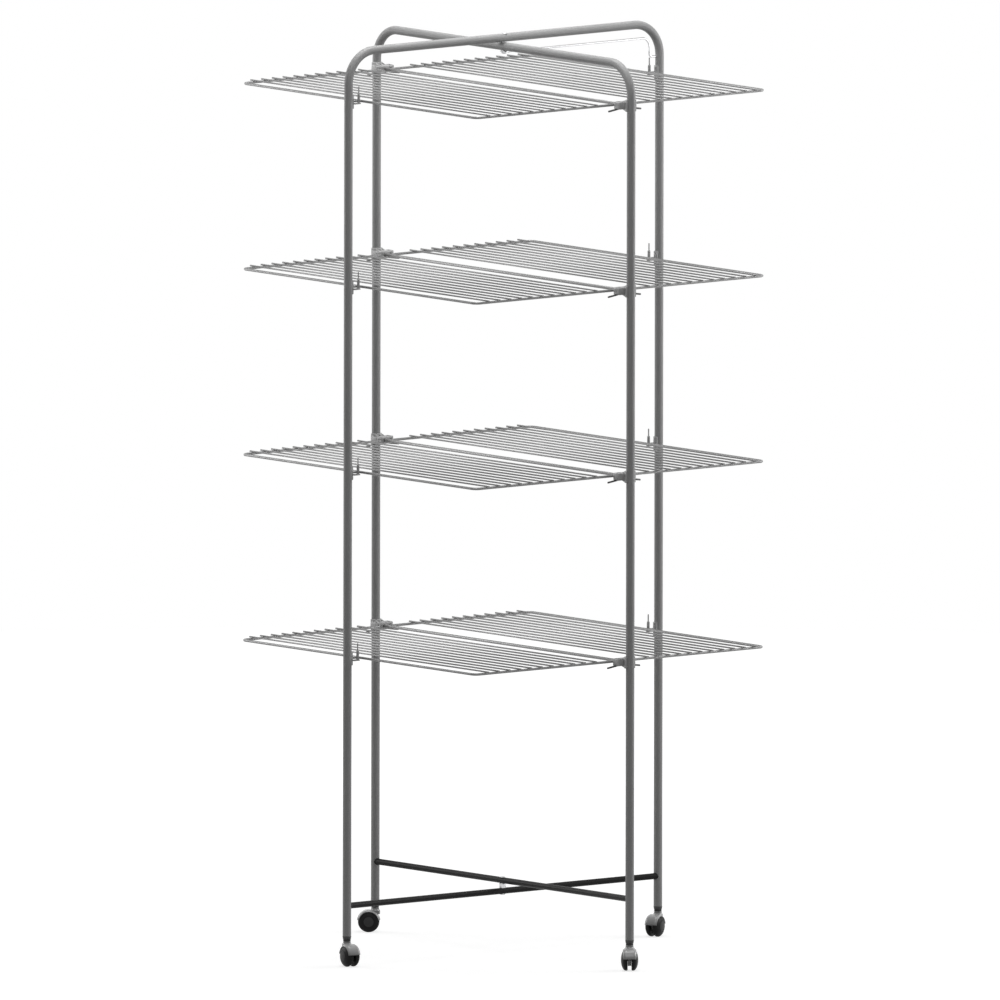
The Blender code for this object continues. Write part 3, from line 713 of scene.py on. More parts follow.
def rackTree(sizes):
    look, sheet = rackLook, NodeSheet("weldedRack", sizes)
    rail = sheet.tube(sheet.size("Geometry"), look["railSides"], "Rail Radius")
    # one wire: a straight line of four points whose end points are drawn in
    half = sheet.size("Wire Half Length")
    ends = {"Start": sheet.point(0.0 - half, 0.0, 0.0), "End": sheet.point(half, 0.0, 0.0)}
    line = sheet.node("GeometryNodeCurvePrimitiveLine", {}, ends)
    line = sheet.node("GeometryNodeResampleCurve", {}, {"Curve": line, "Count": 4})
    index = sheet.node("GeometryNodeInputIndex", {}, {})
    equal = {"data_type": "INT", "operation": "EQUAL"}
    for place, way in ((1, -1.0), (2, 1.0)):
        chosen = sheet.node("FunctionNodeCompare", equal, {2: index, 3: place})
        near = sheet.point((half - look["tipLength"]) * way, 0.0, 0.0)
        sockets = {"Geometry": line, "Selection": chosen, "Position": near}
        line = sheet.node("GeometryNodeSetPosition", {}, sockets)
    tips = sheet.node("GeometryNodeCurveEndpointSelection", {}, {})
    thin = 1.0 - tips * look["tipThin"]
    wire = sheet.tube(line, look["wireSides"], "Wire Radius", Scale=thin)
    # the wires stand on a row of points, and a weld sits at each crossing
    height = sheet.size("Wire Height")
    sockets = {
        "Count": sheet.size("Wires"),
        "Start Location": sheet.point(0.0, sheet.size("First Wire"), height),
        "Offset": sheet.point(0.0, sheet.size("Wire Pitch"), 0.0),
    }
    row = sheet.node("GeometryNodeMeshLine", {"mode": "OFFSET"}, sockets)
    sockets = {"Points": row, "Instance": wire}
    parts = [rail, sheet.node("GeometryNodeInstanceOnPoints", {}, sockets)]
    sockets = {"Radius": sheet.size("Weld Radius"), "Subdivisions": look["weldDetail"]}
    bead = sheet.node("GeometryNodeMeshIcoSphere", {}, sockets)
    sockets = {"Geometry": bead, "Scale": look["weldShape"]}
    bead = sheet.node("GeometryNodeTransform", {}, sockets)
    drop = height * -look["weldDrop"]
    for way in (-1.0, 1.0):
        aside = sheet.point(sheet.size("Rail Half Width") * way, 0.0, drop)
        shifted = sheet.node("GeometryNodeSetPosition", {}, {"Geometry": row, "Offset": aside})
        sockets = {"Points": shifted, "Instance": bead}
        parts.append(sheet.node("GeometryNodeInstanceOnPoints", {}, sockets))
    whole = sheet.node("GeometryNodeSetShadeSmooth", {}, {0: sheet.join(*parts)})
    sheet.close(whole, finishes["rack_wire"])
    return sheet


def rackMesh():
    # About the hinge axis, reaching along +Y, like the back rack of each tier
    look = rackLook
    pin = jointAt["rack_1_back_hinge"]
    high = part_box("tier1_rack_back")[1]
    rail, wire, bend = look["railRadius"], look["wireRadius"], look["pinBend"]
    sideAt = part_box("tier1_hinge_right")[0].x - look["pinPlay"] - bend
    reach = postAt - tubeRadius - look["railGap"] - pin.y
    half = [
        ((high.x, 0, 0), 0.0),
        ((sideAt, 0, 0), bend),
        ((sideAt, reach, 0), look["cornerBend"]),
    ]
    other = [((-x, y, z), fillet) for (x, y, z), fillet in half[::-1]]
    path = rounded(half + other, look["bendSteps"])
    curve = bpy.data.curves.new("rackRail", "CURVE")
    curve.dimensions = "3D"
    spline = curve.splines.new("POLY")
    spline.points.add(len(path) - 1)
    for point, where in zip(spline.points, path):
        point.co = (*where, 1.0)
    first = look["firstWire"] - pin.y
    sizes = {
        "Rail Radius": rail,
        "Wire Radius": wire,
        "Weld Radius": look["weldRadius"],
        "Wire Half Length": sideAt + rail + look["overhang"],
        "Wire Height": rail + wire - look["sink"],
        "First Wire": first,
        "Wire Pitch": (reach - first) / look["wireCount"],
        "Wires": look["wireCount"],
        "Rail Half Width": sideAt,
    }
    sheet = rackTree(sizes)
    made = placed("rackRail", curve)
    welding = made.modifiers.new("weldedRack", "NODES")
    welding.node_group = sheet.tree
    for key, value in sizes.items():
        welding[sheet.ids[key]] = value
    mesh = plainMesh(made)
    # the tongue that lies over the catch, with a weld where it leaves the rail
    bm = bmesh.new()
    bm.from_mesh(mesh)
    sides, root = look["tongueSides"], (0, reach + rail * look["tongueRoot"], 0)
    tongue = [root, (0, high.y - pin.y, 0)]
    sweep(bm, tongue, look["tongueRadius"], sides, tip=look["tongueTip"])
    flare = [(Vector((0, reach + past, 0)), wide) for past, wide in look["tongueFlare"]]
    loft(bm, [circle(at, alongX, Vector((0, 0, 1)), wide, sides) for at, wide in flare])
    bm.to_mesh(mesh)
    bm.free()
    return smoothed(mesh, look["crease"])


rack = rackMesh()
for number, tier in enumerate(tierNames, 1):
    for side, turn in (("back", 0.0), ("front", 180.0)):
        body = f"rack_{number}_{side}"
        place = spot(*jointAt[f"{body}_hinge"], turn)
        name = f"rack{number}{side.capitalize()}"
        show(name, rack, "rack_wire", body, f"{tier}_rack_{side}", place)
print("racks made:", len(rack.polygons), "faces each")


# Centre rods

rodLook = {"sides": 24, "tip": 0.8 * mm}


def centreRod():
    low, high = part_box("tier1_centre_rod")
    line, radius = [(low.x, 0, 0), (high.x, 0, 0)], (high.z - low.z) / 2
    return bar("centreRod", line, radius, rodLook["sides"], tip=rodLook["tip"])


rodMesh = centreRod()
for number, tier in enumerate(tierNames, 1):
    place = spot(0, 0, tierHeight(number))
    show(f"rod{number}", rodMesh, "rod", "inner_frame", f"{tier}_centre_rod", place)


# Hinge brackets: a half saddle on the post's inner side, with a nose that holds both racks
# and the rod, and two thin arms that slope down from its foot

bracketLook = {
    "core": 0.2 * mm, "edge": 0.35 * mm, "saddleSides": 72, "saddleWall": 3.4 * mm,
    "saddleWrap": 1.3 * mm, "saddleEdge": 1.0 * mm, "postPlay": 0.05 * mm,
    "postSides": 64, "noseEdge": 1.6 * mm, "noseAround": 4.25 * mm, "noseRoot": 0.80,
    "holeSides": 28, "pinHole": 2.75 * mm, "pinDepth": 12.0 * mm, "rodHole": 3.2 * mm,
    "rodDepth": 5.2 * mm, "overrun": 2.0 * mm, "pocketDepth": 1.6 * mm,
    "pocketFrom": 9.4 * mm, "pocketRim": 2.2 * mm, "pocketFront": 2.4 * mm,
    "pocketBack": 0.6 * mm, "pocketEdge": 0.5 * mm, "ribHalf": 1.1 * mm,
    "ribApart": 7.0 * mm, "ribInset": 0.35, "headRadius": 2.3 * mm,
    "headRise": 1.0 * mm, "headFrom": 3.4 * mm, "headSink": 0.75 * mm, "headAt": 0.52,
    "armRadius": 1.75 * mm, "armSides": 20, "armInset": 6.8 * mm,
    "armStart": (6.0 * mm, -5.0 * mm), "armEnd": (39.2 * mm, -10.0 * mm),
    "armBendAt": 0.42, "armSag": 0.25 * mm, "armBend": 30.0 * mm, "armTip": 0.8 * mm,
}
headLook = {
    "core": 0.2 * mm, "sides": 24, "crown": 0.6, "bend": 0.5, "rim": 0.35 * mm,
    "foot": 0.8 * mm,
}


def domeHead(name, radius, rise):
    look = headLook
    corners = [
        ((radius * look["crown"], rise), radius * look["bend"]),
        ((radius, look["rim"]), 0.0),
        ((radius, -look["foot"]), 0.0),
    ]
    return turned(name, look["core"], corners, look["sides"])


def withHeads(mesh, heads):
    # adds loose rivet heads to a finished mesh
    bm = bmesh.new()
    bm.from_mesh(mesh)
    for head in heads:
        bm.from_mesh(head)
    bm.to_mesh(mesh)
    bm.free()
    return smoothed(mesh, toolLook["cutCrease"])


def saddleMesh(half, outer):
    # the half shell that lies against the post's inner side, with rounded ends
    look = bracketLook
    corners = [((outer, half), look["saddleEdge"]), ((outer, -half), look["saddleEdge"])]
    return turned("saddle", look["core"], corners, look["saddleSides"])


def bracketMesh():
    look = bracketLook
    low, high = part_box("tier1_hinge_right")
    pin = jointAt["rack_1_back_hinge"]
    half, wrap = high.z - pin.z, tubeRadius + look["saddleWall"]
    around = look["noseAround"] + look["pinHole"]
    noseX, noseY, noseZ = low.x - postAt, pin.y + around, around
    ends = ((noseX, -noseY, -noseZ), (-wrap * look["noseRoot"], noseY, noseZ))
    nose = block("bracket", *ends, look["noseEdge"], 3)
    joins = [saddleMesh(half, wrap)]
    for way in (-1, 1):
        for side in (-look["ribApart"], 0.0, look["ribApart"]):
            # a rib's outline, in shares of the saddle and the nose
            inset, thick = abs(side) * look["ribInset"], look["ribHalf"]
            outline = [
                (-wrap * 0.6 + inset, half * 0.90),
                (-wrap * 0.96 + inset, half * 0.90),
                (noseX * 0.72, noseZ * 0.92),
                (-wrap * 0.6, noseZ * 0.8),
            ]
            bm = bmesh.new()
            flanks = (side - thick, side + thick)
            loft(bm, [[Vector((x, y, z * way)) for x, z in outline] for y in flanks])
            joins.append(fromBmesh("rib", bm))
    far, wide, past = half * 3, wrap * 2, look["overrun"]
    bore = tubeRadius + look["postPlay"]
    cuts = [
        rod("postHole", (0, 0, -far), (0, 0, far), bore, look["postSides"]),
        block("openSide", (look["saddleWrap"], -wide, -far), (wide, wide, far)),
    ]
    pinHole, rodHole = (look["pinHole"], look["pinDepth"]), (look["rodHole"], look["rodDepth"])
    for y, (radius, deep) in ((-pin.y, pinHole), (pin.y, pinHole), (0, rodHole)):
        ends = ((noseX - past, y, 0), (noseX + deep, y, 0))
        cuts.append(rod("pinHole", *ends, radius, look["holeSides"]))
    for way in (-1, 1):
        for side in (-1, 1):
            y = sorted((side * look["pocketFrom"], side * (noseY - look["pocketRim"])))
            z = sorted((way * (noseZ - look["pocketDepth"]), way * (noseZ + past)))
            front, back = noseX + look["pocketFront"], -wrap - look["pocketBack"]
            ends = ((front, y[0], z[0]), (back, y[1], z[1]))
            cuts.append(block("pocket", *ends, look["pocketEdge"], 1))
    mesh = carved("bracket", nose, joins, cuts, look["edge"], 2)
    heads = []
    for way in (-1, 1):
        head = domeHead("bracketHead", look["headRadius"], look["headRise"])
        flank = Matrix.Rotation(math.radians(-90.0 * way), 4, "X")
        at = (-look["headFrom"], way * (wrap - look["headSink"]), half * look["headAt"])
        head.transform(Matrix.Translation(at) @ flank)
        heads.append(head)
    return withHeads(mesh, heads)


def bracketArms():
    # the pair of thin arms, each with rounded ends
    look = bracketLook
    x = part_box("tier1_hinge_right")[0].x - postAt + look["armInset"]
    (nearY, nearZ), (farY, farZ) = look["armStart"], look["armEnd"]
    bm = bmesh.new()
    for way in (-1, 1):
        start, end = Vector((x, way * nearY, nearZ)), Vector((x, way * farY, farZ))
        middle = start.lerp(end, look["armBendAt"]) - Vector((0, 0, look["armSag"]))
        path = rounded([(start, 0.0), (middle, look["armBend"]), (end, 0.0)], 6)
        sweep(bm, path, look["armRadius"], look["armSides"], tip=look["armTip"])
    return smoothed(fromBmesh("bracketArms", bm))


bracket, arms = bracketMesh(), bracketArms()
for number, tier in enumerate(tierNames, 1):
    for side, x, turn in (("right", postAt, 0.0), ("left", -postAt, 180.0)):
        place, label = spot(x, 0, tierHeight(number), turn), f"{number}{side.capitalize()}"
        node = f"{tier}_hinge_{side}"
        show(f"hinge{label}", bracket, "bracket", "inner_frame", node, place)
        show(f"arms{label}", arms, "black_plastic", "inner_frame", node, place)
print("hinge brackets made:", len(bracket.polygons), "faces each")


# Catches: a saddle on the post, an arm under the rack's tongue and a prong beside it

catchLook = {
    "core": 0.1 * mm, "edge": 0.2 * mm, "postPlay": 0.02 * mm, "postSides": 64,
    "padAbove": 9.0 * mm, "padLeft": 4.5 * mm, "padWall": 1.5 * mm, "padEdge": 0.8 * mm,
    "saddle": 2.6 * mm, "armClear": 0.9 * mm, "armWide": 8.2 * mm, "armTall": 2.4 * mm,
    "armRoot": 1.0 * mm, "armEdge": 0.6 * mm, "prongPlay": 0.3 * mm, "prongSides": 24,
    "prongRadius": 2.75 * mm, "prongNeck": 0.96, "prongShoulder": 14.0 * mm,
    "prongSlope": (0.6 * mm, 1.0 * mm), "prongBends": (0.5 * mm, 1.6 * mm),
    "prongBack": 3.2 * mm, "prongFoot": (1.0 * mm, 0.5 * mm), "pinRadius": 1.15 * mm,
    "pinTip": 0.6 * mm, "headRadius": 2.1 * mm, "headRise": 1.0 * mm,
    "headAside": 0.2 * mm, "headSink": 0.1 * mm, "headsFrom": (3.2 * mm, 3.4 * mm),
}


def catchMesh():
    look = catchLook
    low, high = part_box("tier1_catch_back")
    face, tip = high.y - postAt, low.y - postAt
    padLow, prongTop = low.z - tierHeight(1), high.z - tierHeight(1)
    wireTop = rackLook["railRadius"] + rackLook["wireRadius"] - rackLook["sink"]
    padTop, front = wireTop + look["padAbove"], face - look["padWall"]
    ends = ((-look["padLeft"], front, padLow), (high.x, face + look["saddle"], padTop))
    pad = block("catch", *ends, look["padEdge"])
    armTop = -rackLook["tongueRadius"] - look["armClear"]
    armLow = armTop - look["armTall"]
    ends = ((-look["armWide"], tip, armLow), (0, face - look["armRoot"], armTop))
    arm = block("arm", *ends, look["armEdge"])
    thick, pin = look["prongRadius"], look["pinRadius"]
    (above, below), (neck, bend) = look["prongSlope"], look["prongBends"]
    shoulder, (out, foot) = look["prongShoulder"], look["prongFoot"]
    corners = [
        ((pin, prongTop), look["pinTip"]),
        ((pin, shoulder + above), neck),
        ((thick * look["prongNeck"], shoulder - below), bend),
        ((thick, armTop + out), 0.0),
        ((thick, armLow + foot), 0.0),
    ]
    prong = turned("prong", look["core"], corners, look["prongSides"])
    aside = -rackLook["tongueRadius"] - look["prongPlay"] - thick
    prong.transform(spot(aside, tip + look["prongBack"], 0))
    bore = tubeRadius - look["postPlay"]
    cuts = [rod("post", (0, 0, padLow * 2), (0, 0, padTop * 3), bore, look["postSides"])]
    mesh = carved("catch", pad, [arm, prong], cuts, look["edge"], 1)
    heads = []
    outward = Matrix.Rotation(math.radians(90.0), 4, "X")
    fromFoot, fromTop = look["headsFrom"]
    for height in (padLow + fromFoot, padTop - fromTop):
        head = domeHead("catchHead", look["headRadius"], look["headRise"])
        at = (look["headAside"], front + look["headSink"], height)
        head.transform(Matrix.Translation(at) @ outward)
        heads.append(head)
    return withHeads(mesh, heads)


catch = catchMesh()
for number, tier in enumerate(tierNames, 1):
    for side, y, turn in (("back", postAt, 0.0), ("front", -postAt, 180.0)):
        place, name = spot(0, y, tierHeight(number), turn), f"catch{number}{side.capitalize()}"
        show(name, catch, "catch", "outer_frame", f"{tier}_catch_{side}", place)
print("catches made:", len(catch.polygons), "faces each")


# Plugs in the posts' lower ends

plugLook = {
    "sides": 48, "steps": 3, "fillet": 0.8 * mm, "stemHole": 4.2 * mm,
    "holeFillet": 0.3 * mm, "taper": 0.90, "play": 0.05 * mm, "spigotPlay": 0.1 * mm,
    "spigotFillet": 0.6 * mm,
}


def plugMesh():
    look = plugLook
    low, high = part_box("plug_right")
    wide, top = (high.y - low.y) / 2, postEnd - look["play"]
    spigot = tubeRadius - tubeLook["wall"] - look["spigotPlay"]
    corners = [
        ((look["stemHole"], low.z), look["holeFillet"]),
        ((wide * look["taper"], low.z), look["fillet"]),
        ((wide, top), look["fillet"] / 2),
        ((spigot, top), 0.0),
        ((spigot, high.z), look["spigotFillet"]),
        ((look["stemHole"], high.z), 0.0),
    ]
    return ringTurned("plug", corners, look["sides"], look["steps"])


plug = plugMesh()
casterPlaces = {
    "front": ((0, -postAt), "outer_frame"),
    "back": ((0, postAt), "outer_frame"),
    "left": ((-postAt, 0), "inner_frame"),
    "right": ((postAt, 0), "inner_frame"),
}


# Casters, about the swivel axis with the wheels trailing along +X

wheelLook = {
    "core": 0.15 * mm, "sides": 72, "inner": 3.6 * mm, "outer": 16.2 * mm,
    "tread": 3.4 * mm, "treadRound": 1.8 * mm, "domeSteps": 14, "capSteps": 4,
    "capRadius": 9.0 * mm, "capMargin": 0.1 * mm, "capGroove": 0.45 * mm,
    "capGrooveWidth": 0.7 * mm, "dish": (15.0 * mm, 14.5 * mm, 6.5 * mm, 6.0 * mm),
    "dishDepth": 2.5 * mm, "dishFillets": (0.3 * mm, 0.5 * mm, 0.4 * mm),
    "bore": 2.6 * mm, "boreEnd": 1.6 * mm, "dustFrom": 0.9 * mm, "dustFade": 0.8 * mm,
}
hoodLook = {
    "core": 0.2 * mm, "clear": 0.6 * mm, "wall": 1.3 * mm, "wrap": 30.0, "wrapSteps": 6,
    "steps": 56, "lip": 3.4 * mm, "edge": 0.35 * mm, "webHalf": 3.2 * mm,
    "webLow": 11.6 * mm, "webAngles": (range(12, 169, 6), range(180, 361, 6)),
    "webPlay": 0.01 * mm, "roomPlay": 0.05 * mm, "roomWrap": 4.0, "roomPast": 4.0 * mm,
    "bossSides": 56, "bossRadii": (7.4 * mm, 9.2 * mm, 9.4 * mm),
    "bossDrops": (2.6 * mm, 5.6 * mm, 12.0 * mm),
    "bossFillets": (0.9 * mm, 1.8 * mm, 2.0 * mm), "axleHole": (2.55 * mm, 24),
    "stemHole": (4.1 * mm, 32), "stemDepth": 4.8 * mm, "overrun": 3.0 * mm,
    # the hood's painted highlight: how far up a surface must face before the colour starts to pale,
    # and over how much it reaches the paler level
    "paintedLightFrom": 0.10, "paintedLightOver": 0.75,
}
stemLook = {
    "core": 0.2 * mm, "sides": 40, "radius": 4.0 * mm, "tip": 0.8 * mm,
    "collar": 7.1 * mm, "collarEdge": 0.5 * mm, "plugPlay": 0.2 * mm,
    "hoodPlay": 0.1 * mm,
}
axleLook = {"sides": 24, "radius": 2.5 * mm, "short": 1.8 * mm, "tip": 0.5 * mm}
trail = (jointAt["wheel_right_a_spin"].xy - jointAt["caster_right_swivel"].xy).length
wheelRadius = jointAt["wheel_right_a_spin"].z
treadEnd = wheelLook["inner"] + wheelLook["tread"]


def domePoint(radius, outer, degrees):
    # radius and distance from the caster's middle, so many degrees up from the tread
    angle = math.radians(degrees)
    return radius * math.cos(angle), treadEnd + (outer - treadEnd) * math.sin(angle)


def ramp(value, start, length):
    return max(0.0, min(1.0, (value - start) / length))


def wheelMesh():
    # the axle's direction is +Y; the domed outer face is the far one, with a pressed-in cap
    look = wheelLook
    cap, inner, outer = look["capRadius"], look["inner"], look["outer"]
    rim, steps = cap + look["capGrooveWidth"], look["domeSteps"]
    capAngle, rimAngle = [math.degrees(math.acos(r / wheelRadius)) for r in (cap, rim)]
    shares = [n / look["capSteps"] for n in range(1, look["capSteps"] + 1)]
    angles = [90.0 + (capAngle - 90.0) * share for share in shares]
    outline = [domePoint(wheelRadius, outer, angle) for angle in angles]
    foot = outline[-1][1] - look["capGroove"]
    outline += [(cap, foot), (rim, foot)]
    for n in range(steps + 1):
        outline.append(domePoint(wheelRadius, outer, rimAngle * (1.0 - n / steps)))
    (a, b, c, d), deep = look["dish"], inner + look["dishDepth"]
    first, bend, last = look["dishFillets"]
    end = outer - look["boreEnd"]
    corners = [(corner, 0.0) for corner in outline] + [
        ((wheelRadius, inner), look["treadRound"]),
        ((a, inner), first),
        ((b, deep), bend),
        ((c, deep), bend),
        ((d, inner), last),
        ((look["bore"], inner), 0.0),
        ((look["bore"], end), 0.0),
    ]
    mesh = turned("wheel", look["core"], corners, look["sides"], 3, crown=outer)
    tread = mesh.attributes.new("tread", "FLOAT", "POINT")
    capped = mesh.attributes.new("cap", "FLOAT", "POINT")
    for n, vert in enumerate(mesh.vertices):
        away = vert.co.xy.length
        tread.data[n].value = ramp(away, wheelRadius - look["dustFrom"], look["dustFade"])
        capped.data[n].value = float(away < cap + look["capMargin"] and vert.co.z > treadEnd)
    mesh.transform(Matrix.Rotation(math.radians(-90.0), 4, "X"))
    return mesh


def hoodSkin(radius, outer):
    # one skin of the hood across both wheels, from rim to rim
    wrap, steps = hoodLook["wrap"], hoodLook["wrapSteps"]
    half = [domePoint(radius, outer, wrap * n / steps) for n in range(steps + 1)]
    return [(r, -y) for r, y in half[::-1]] + half


def onArc(radius, degrees, y):
    # a point in the upright plane of the wheels, turned about the axle
    angle = math.radians(degrees)
    return Vector((radius * math.cos(angle) + trail, y, radius * math.sin(angle) + wheelRadius))


def webMesh(reach):
    wide, (over, under) = hoodLook["webHalf"], hoodLook["webAngles"]
    rims = [(reach, a) for a in over] + [(hoodLook["webLow"], a) for a in under]
    bm = bmesh.new()
    loft(bm, [[onArc(r, a, y) for r, a in rims] for y in (-wide, wide)])
    return fromBmesh("web", bm)


def wheelRoom(radius, outer, way):
    # the space that one wheel takes under the hood
    look = hoodLook
    wrap, steps = look["wrap"] + look["roomWrap"], look["wrapSteps"]
    dome = [domePoint(radius, outer, wrap * (1.0 - n / steps)) for n in range(steps + 1)]
    out, near = outer + look["roomPast"], look["webHalf"] + look["webPlay"]
    corners = [(corner, 0.0) for corner in ((dome[0][0], out), *dome, (radius, near))]
    mesh = turned("room", look["core"], corners, wheelLook["sides"])
    flank = Matrix.Rotation(math.radians(-90.0 * way), 4, "X")
    mesh.transform(Matrix.Translation((trail, 0, wheelRadius)) @ flank)
    return mesh


def hoodMesh():
    # a domed shell over both wheels, with a boss for the stem and a web between the wheels
    look, play = hoodLook, hoodLook["roomPlay"]
    inner, innerSide = wheelRadius + look["clear"], wheelLook["outer"] + look["clear"]
    outer, outerSide = inner + look["wall"], innerSide + look["wall"]
    flat = hoodSkin(outer, outerSide) + hoodSkin(inner, innerSide)[::-1]
    lip, steps = math.degrees(math.asin(look["lip"] / outer)), look["steps"]
    angles = [lip + (180.0 - 2 * lip) * n / steps for n in range(steps + 1)]
    bm = bmesh.new()
    loft(bm, [[onArc(r, angle, y) for r, y in flat] for angle in angles])
    shell = fromBmesh("hood", bm)
    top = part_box("caster_right_hood")[1].z
    slim, wide, widest = look["bossRadii"]
    (neck, waist, foot), (crown, hollow, swell) = look["bossDrops"], look["bossFillets"]
    corners = [
        ((slim, top), crown),
        ((slim, top - neck), hollow),
        ((wide, top - waist), swell),
        ((widest, top - foot), 0.0),
    ]
    boss = turned("boss", look["core"], corners, look["bossSides"])
    rooms = [wheelRoom(inner - play, innerSide - play, way) for way in (-1, 1)]
    far, past = wheelLook["outer"] * 2, look["overrun"]
    cuts = rooms + [
        rod("axleHole", (trail, -far, wheelRadius), (trail, far, wheelRadius), *look["axleHole"]),
        rod("stemHole", (0, 0, top - look["stemDepth"]), (0, 0, top + past), *look["stemHole"]),
    ]
    joins = [boss, webMesh(inner + look["wall"] / 2)]
    mesh = carved("hood", shell, joins, cuts, look["edge"])
    # painted highlight: each point's share of the paler colour grows as its surface turns up, as if
    # lit from above
    paintedTopLight = mesh.attributes.new("paintedTopLight", "FLOAT", "POINT")
    for n, vert in enumerate(mesh.vertices):
        paintedTopLight.data[n].value = ramp(vert.normal.z, look["paintedLightFrom"], look["paintedLightOver"])
    return mesh


def stemMesh():
    look = stemLook
    low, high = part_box("caster_right_stem")
    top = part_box("plug_right")[0].z - look["plugPlay"]
    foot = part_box("caster_right_hood")[1].z + look["hoodPlay"]
    radius, collar, edge = look["radius"], look["collar"], look["collarEdge"]
    corners = [
        ((radius, high.z), look["tip"]),
        ((radius, top), 0.0),
        ((collar, top), edge),
        ((collar, foot), edge),
        ((radius, foot), 0.0),
        ((radius, low.z), 0.0),
    ]
    return turned("stem", look["core"], corners, look["sides"])


def axleMesh():
    half = wheelLook["outer"] - axleLook["short"]
    line = [(0, -half, 0), (0, half, 0)]
    return bar("axle", line, axleLook["radius"], axleLook["sides"], tip=axleLook["tip"])


wheel, hood, stem, axle = wheelMesh(), hoodMesh(), stemMesh(), axleMesh()
halfTurn = Matrix.Rotation(math.pi, 4, "Z")
for side, ((x, y), holder) in casterPlaces.items():
    hub = jointAt[f"wheel_{side}_a_spin"]
    heading = math.degrees(math.atan2(hub.y - y, hub.x - x))
    label, swivel, node = side.capitalize(), f"swivel_{side}", f"caster_{side}"
    turning, hubPlace = spot(x, y, 0, heading), spot(*hub, heading)
    show(f"plug{label}", plug, "black_plastic", holder, f"plug_{side}", spot(x, y, 0))
    show(f"stem{label}", stem, "black_steel", swivel, f"{node}_stem", turning)
    show(f"hood{label}", hood, "hood_plastic", swivel, f"{node}_hood", turning)
    show(f"axle{label}", axle, "zinc", swivel, f"{node}_axle", hubPlace)
    for half, place in (("a", hubPlace), ("b", hubPlace @ halfTurn)):
        name, body = f"wheel{label}{half.upper()}", f"wheel_{side}_{half}"
        show(name, wheel, "wheel_plastic", body, f"{node}_wheel_{half}", place)
print("casters made:", len(hood.polygons), "hood faces,", len(wheel.polygons), "wheel faces")


# Floor, world, lamps and camera

studioLook = {
    "floorRadius": 5.0,
    "floorLevel": 0.42,
    "floorLift": (0.735, 1.0),
    "floorFade": (0.8, 2.6),
    "worldLevel": 0.10,
    "azimuth": 50.7,
    "elevation": 6.92,
    "roll": 0.112,
    "distance": 8.0,
    "metresAcross": 1.8617,
    "picture": 1000.0,
    "axisPixel": (503.2, 950.8),
    "aim": Vector((0, 0, 0.85)),
}
# each lamp: how far to the right, towards the camera and up, then its size and watts
lampLook = {
    "fillLamp": ((0.0, 3.2, 3.2), 2.0, 26.0),
    "topLamp": ((0.0, 0.0, 3.0), 1.6, 36.0),
    "rightLamp": ((2.8, -0.5, 1.5), 1.8, 44.0),
    "leftLamp": ((-2.8, -1.0, 1.5), 1.8, 30.0),
}


def seenDirectly(sheet):
    # 1 on rays that show the background: from the camera, off gloss and through glass
    names = ("Is Camera Ray", "Is Glossy Ray", "Is Transmission Ray")
    camera, gloss, glass = [sheet.node("ShaderNodeLightPath", {}, {}, name) for name in names]
    return (camera + gloss + glass).clamped()


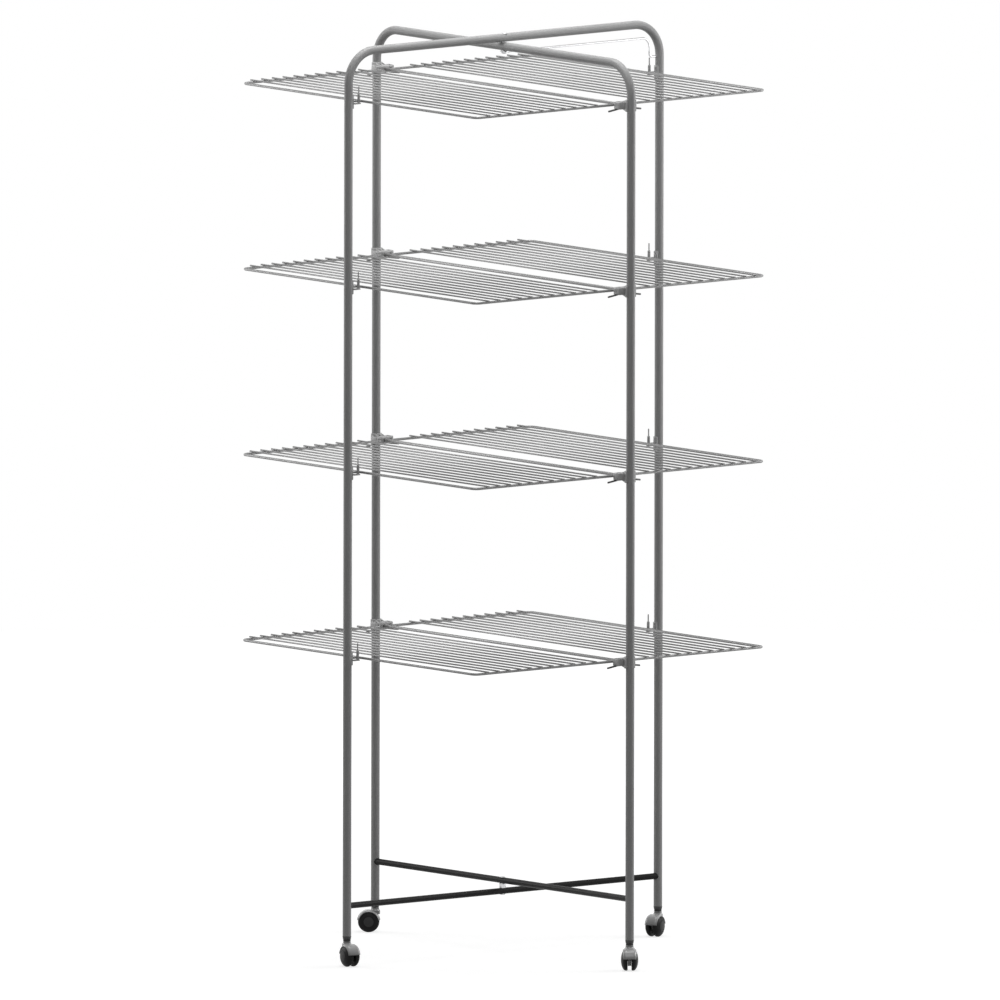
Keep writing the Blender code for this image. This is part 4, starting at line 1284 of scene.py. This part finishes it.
def makeFloor():
    bm = bmesh.new()
    bmesh.ops.create_circle(bm, cap_ends=True, segments=96, radius=studioLook["floorRadius"])
    floor = placed("studioFloor", fromBmesh("studioFloor", bm))
    material = bpy.data.materials.new("paleFloor")
    material.use_nodes = True
    tree = material.node_tree
    tree.nodes.clear()
    sheet = Sheet(tree)
    matte = sheet.node("ShaderNodeBsdfDiffuse", {}, {"Color": grey(studioLook["floorLevel"])})
    # white of its own far out; near the tower the lamps do the rest, so that shadows show
    near, far = studioLook["floorFade"]
    length = {"operation": "LENGTH"}
    away = sheet.node("ShaderNodeVectorMath", length, {0: sheet.place()}, "Value")
    share = ((away - near) / (far - near)).clamped()
    low, high = studioLook["floorLift"]
    lift = sheet.blendColour(share, grey(low), grey(high))
    glow = sheet.node("ShaderNodeEmission", {}, {"Color": lift, "Strength": seenDirectly(sheet)})
    both = sheet.node("ShaderNodeAddShader", {}, {0: matte, 1: glow})
    outlet = tree.nodes.new("ShaderNodeOutputMaterial")
    sheet.plug(outlet.inputs["Surface"], both)
    floor.data.materials.append(material)


def makeWorld():
    # white where it is seen directly, dim as a light
    world = bpy.data.worlds.new("studio")
    bpy.context.scene.world = world
    world.use_nodes = True
    sheet, dim = Sheet(world.node_tree), studioLook["worldLevel"]
    background = world.node_tree.nodes["Background"]
    background.inputs["Color"].default_value = grey(1.0)
    sheet.plug(background.inputs["Strength"], seenDirectly(sheet) * (1.0 - dim) + dim)


def basis():
    # rightwards, upwards and towards the camera at the photograph's angle
    a, e = math.radians(studioLook["azimuth"]), math.radians(studioLook["elevation"])
    toward = Vector((math.sin(a) * math.cos(e), -math.cos(a) * math.cos(e), math.sin(e)))
    right = Vector((math.cos(a), math.sin(a), 0.0))
    return right, toward.cross(right), toward


def makeLamp(name, place, size, watts):
    lamp = bpy.data.lights.new(name, "AREA")
    lamp.shape = "DISK"
    lamp.size = size
    lamp.energy = watts
    made = placed(name, lamp)
    made.location = place
    made.rotation_mode = "QUATERNION"
    made.rotation_quaternion = (studioLook["aim"] - place).to_track_quat("-Z", "Y")


def makeCamera(right, up, toward):
    data = bpy.data.cameras.new("camera")
    data.type = "ORTHO"
    data.ortho_scale = studioLook["metresAcross"]
    picture, distance = studioLook["picture"], studioLook["distance"]
    pixel = studioLook["metresAcross"] / picture
    x, y = studioLook["axisPixel"]
    aim = right * (picture / 2 - x) * pixel + up * (y - picture / 2) * pixel
    camera = placed("camera", data)
    camera.location = aim + toward * distance
    roll = Matrix.Rotation(math.radians(studioLook["roll"]), 3, toward)
    turn = Matrix((roll @ right, roll @ up, toward)).transposed()
    camera.rotation_mode = "QUATERNION"
    camera.rotation_quaternion = turn.to_quaternion()
    data.clip_end = distance * 4
    bpy.context.scene.camera = camera


makeFloor()
makeWorld()
right, up, toward = basis()
for name, ((aside, ahead, above), size, watts) in lampLook.items():
    makeLamp(name, right * aside + toward * ahead + Vector((0, 0, above)), size, watts)
makeCamera(right, up, toward)
bpy.context.scene.view_settings.view_transform = "Standard"
print("studio made")
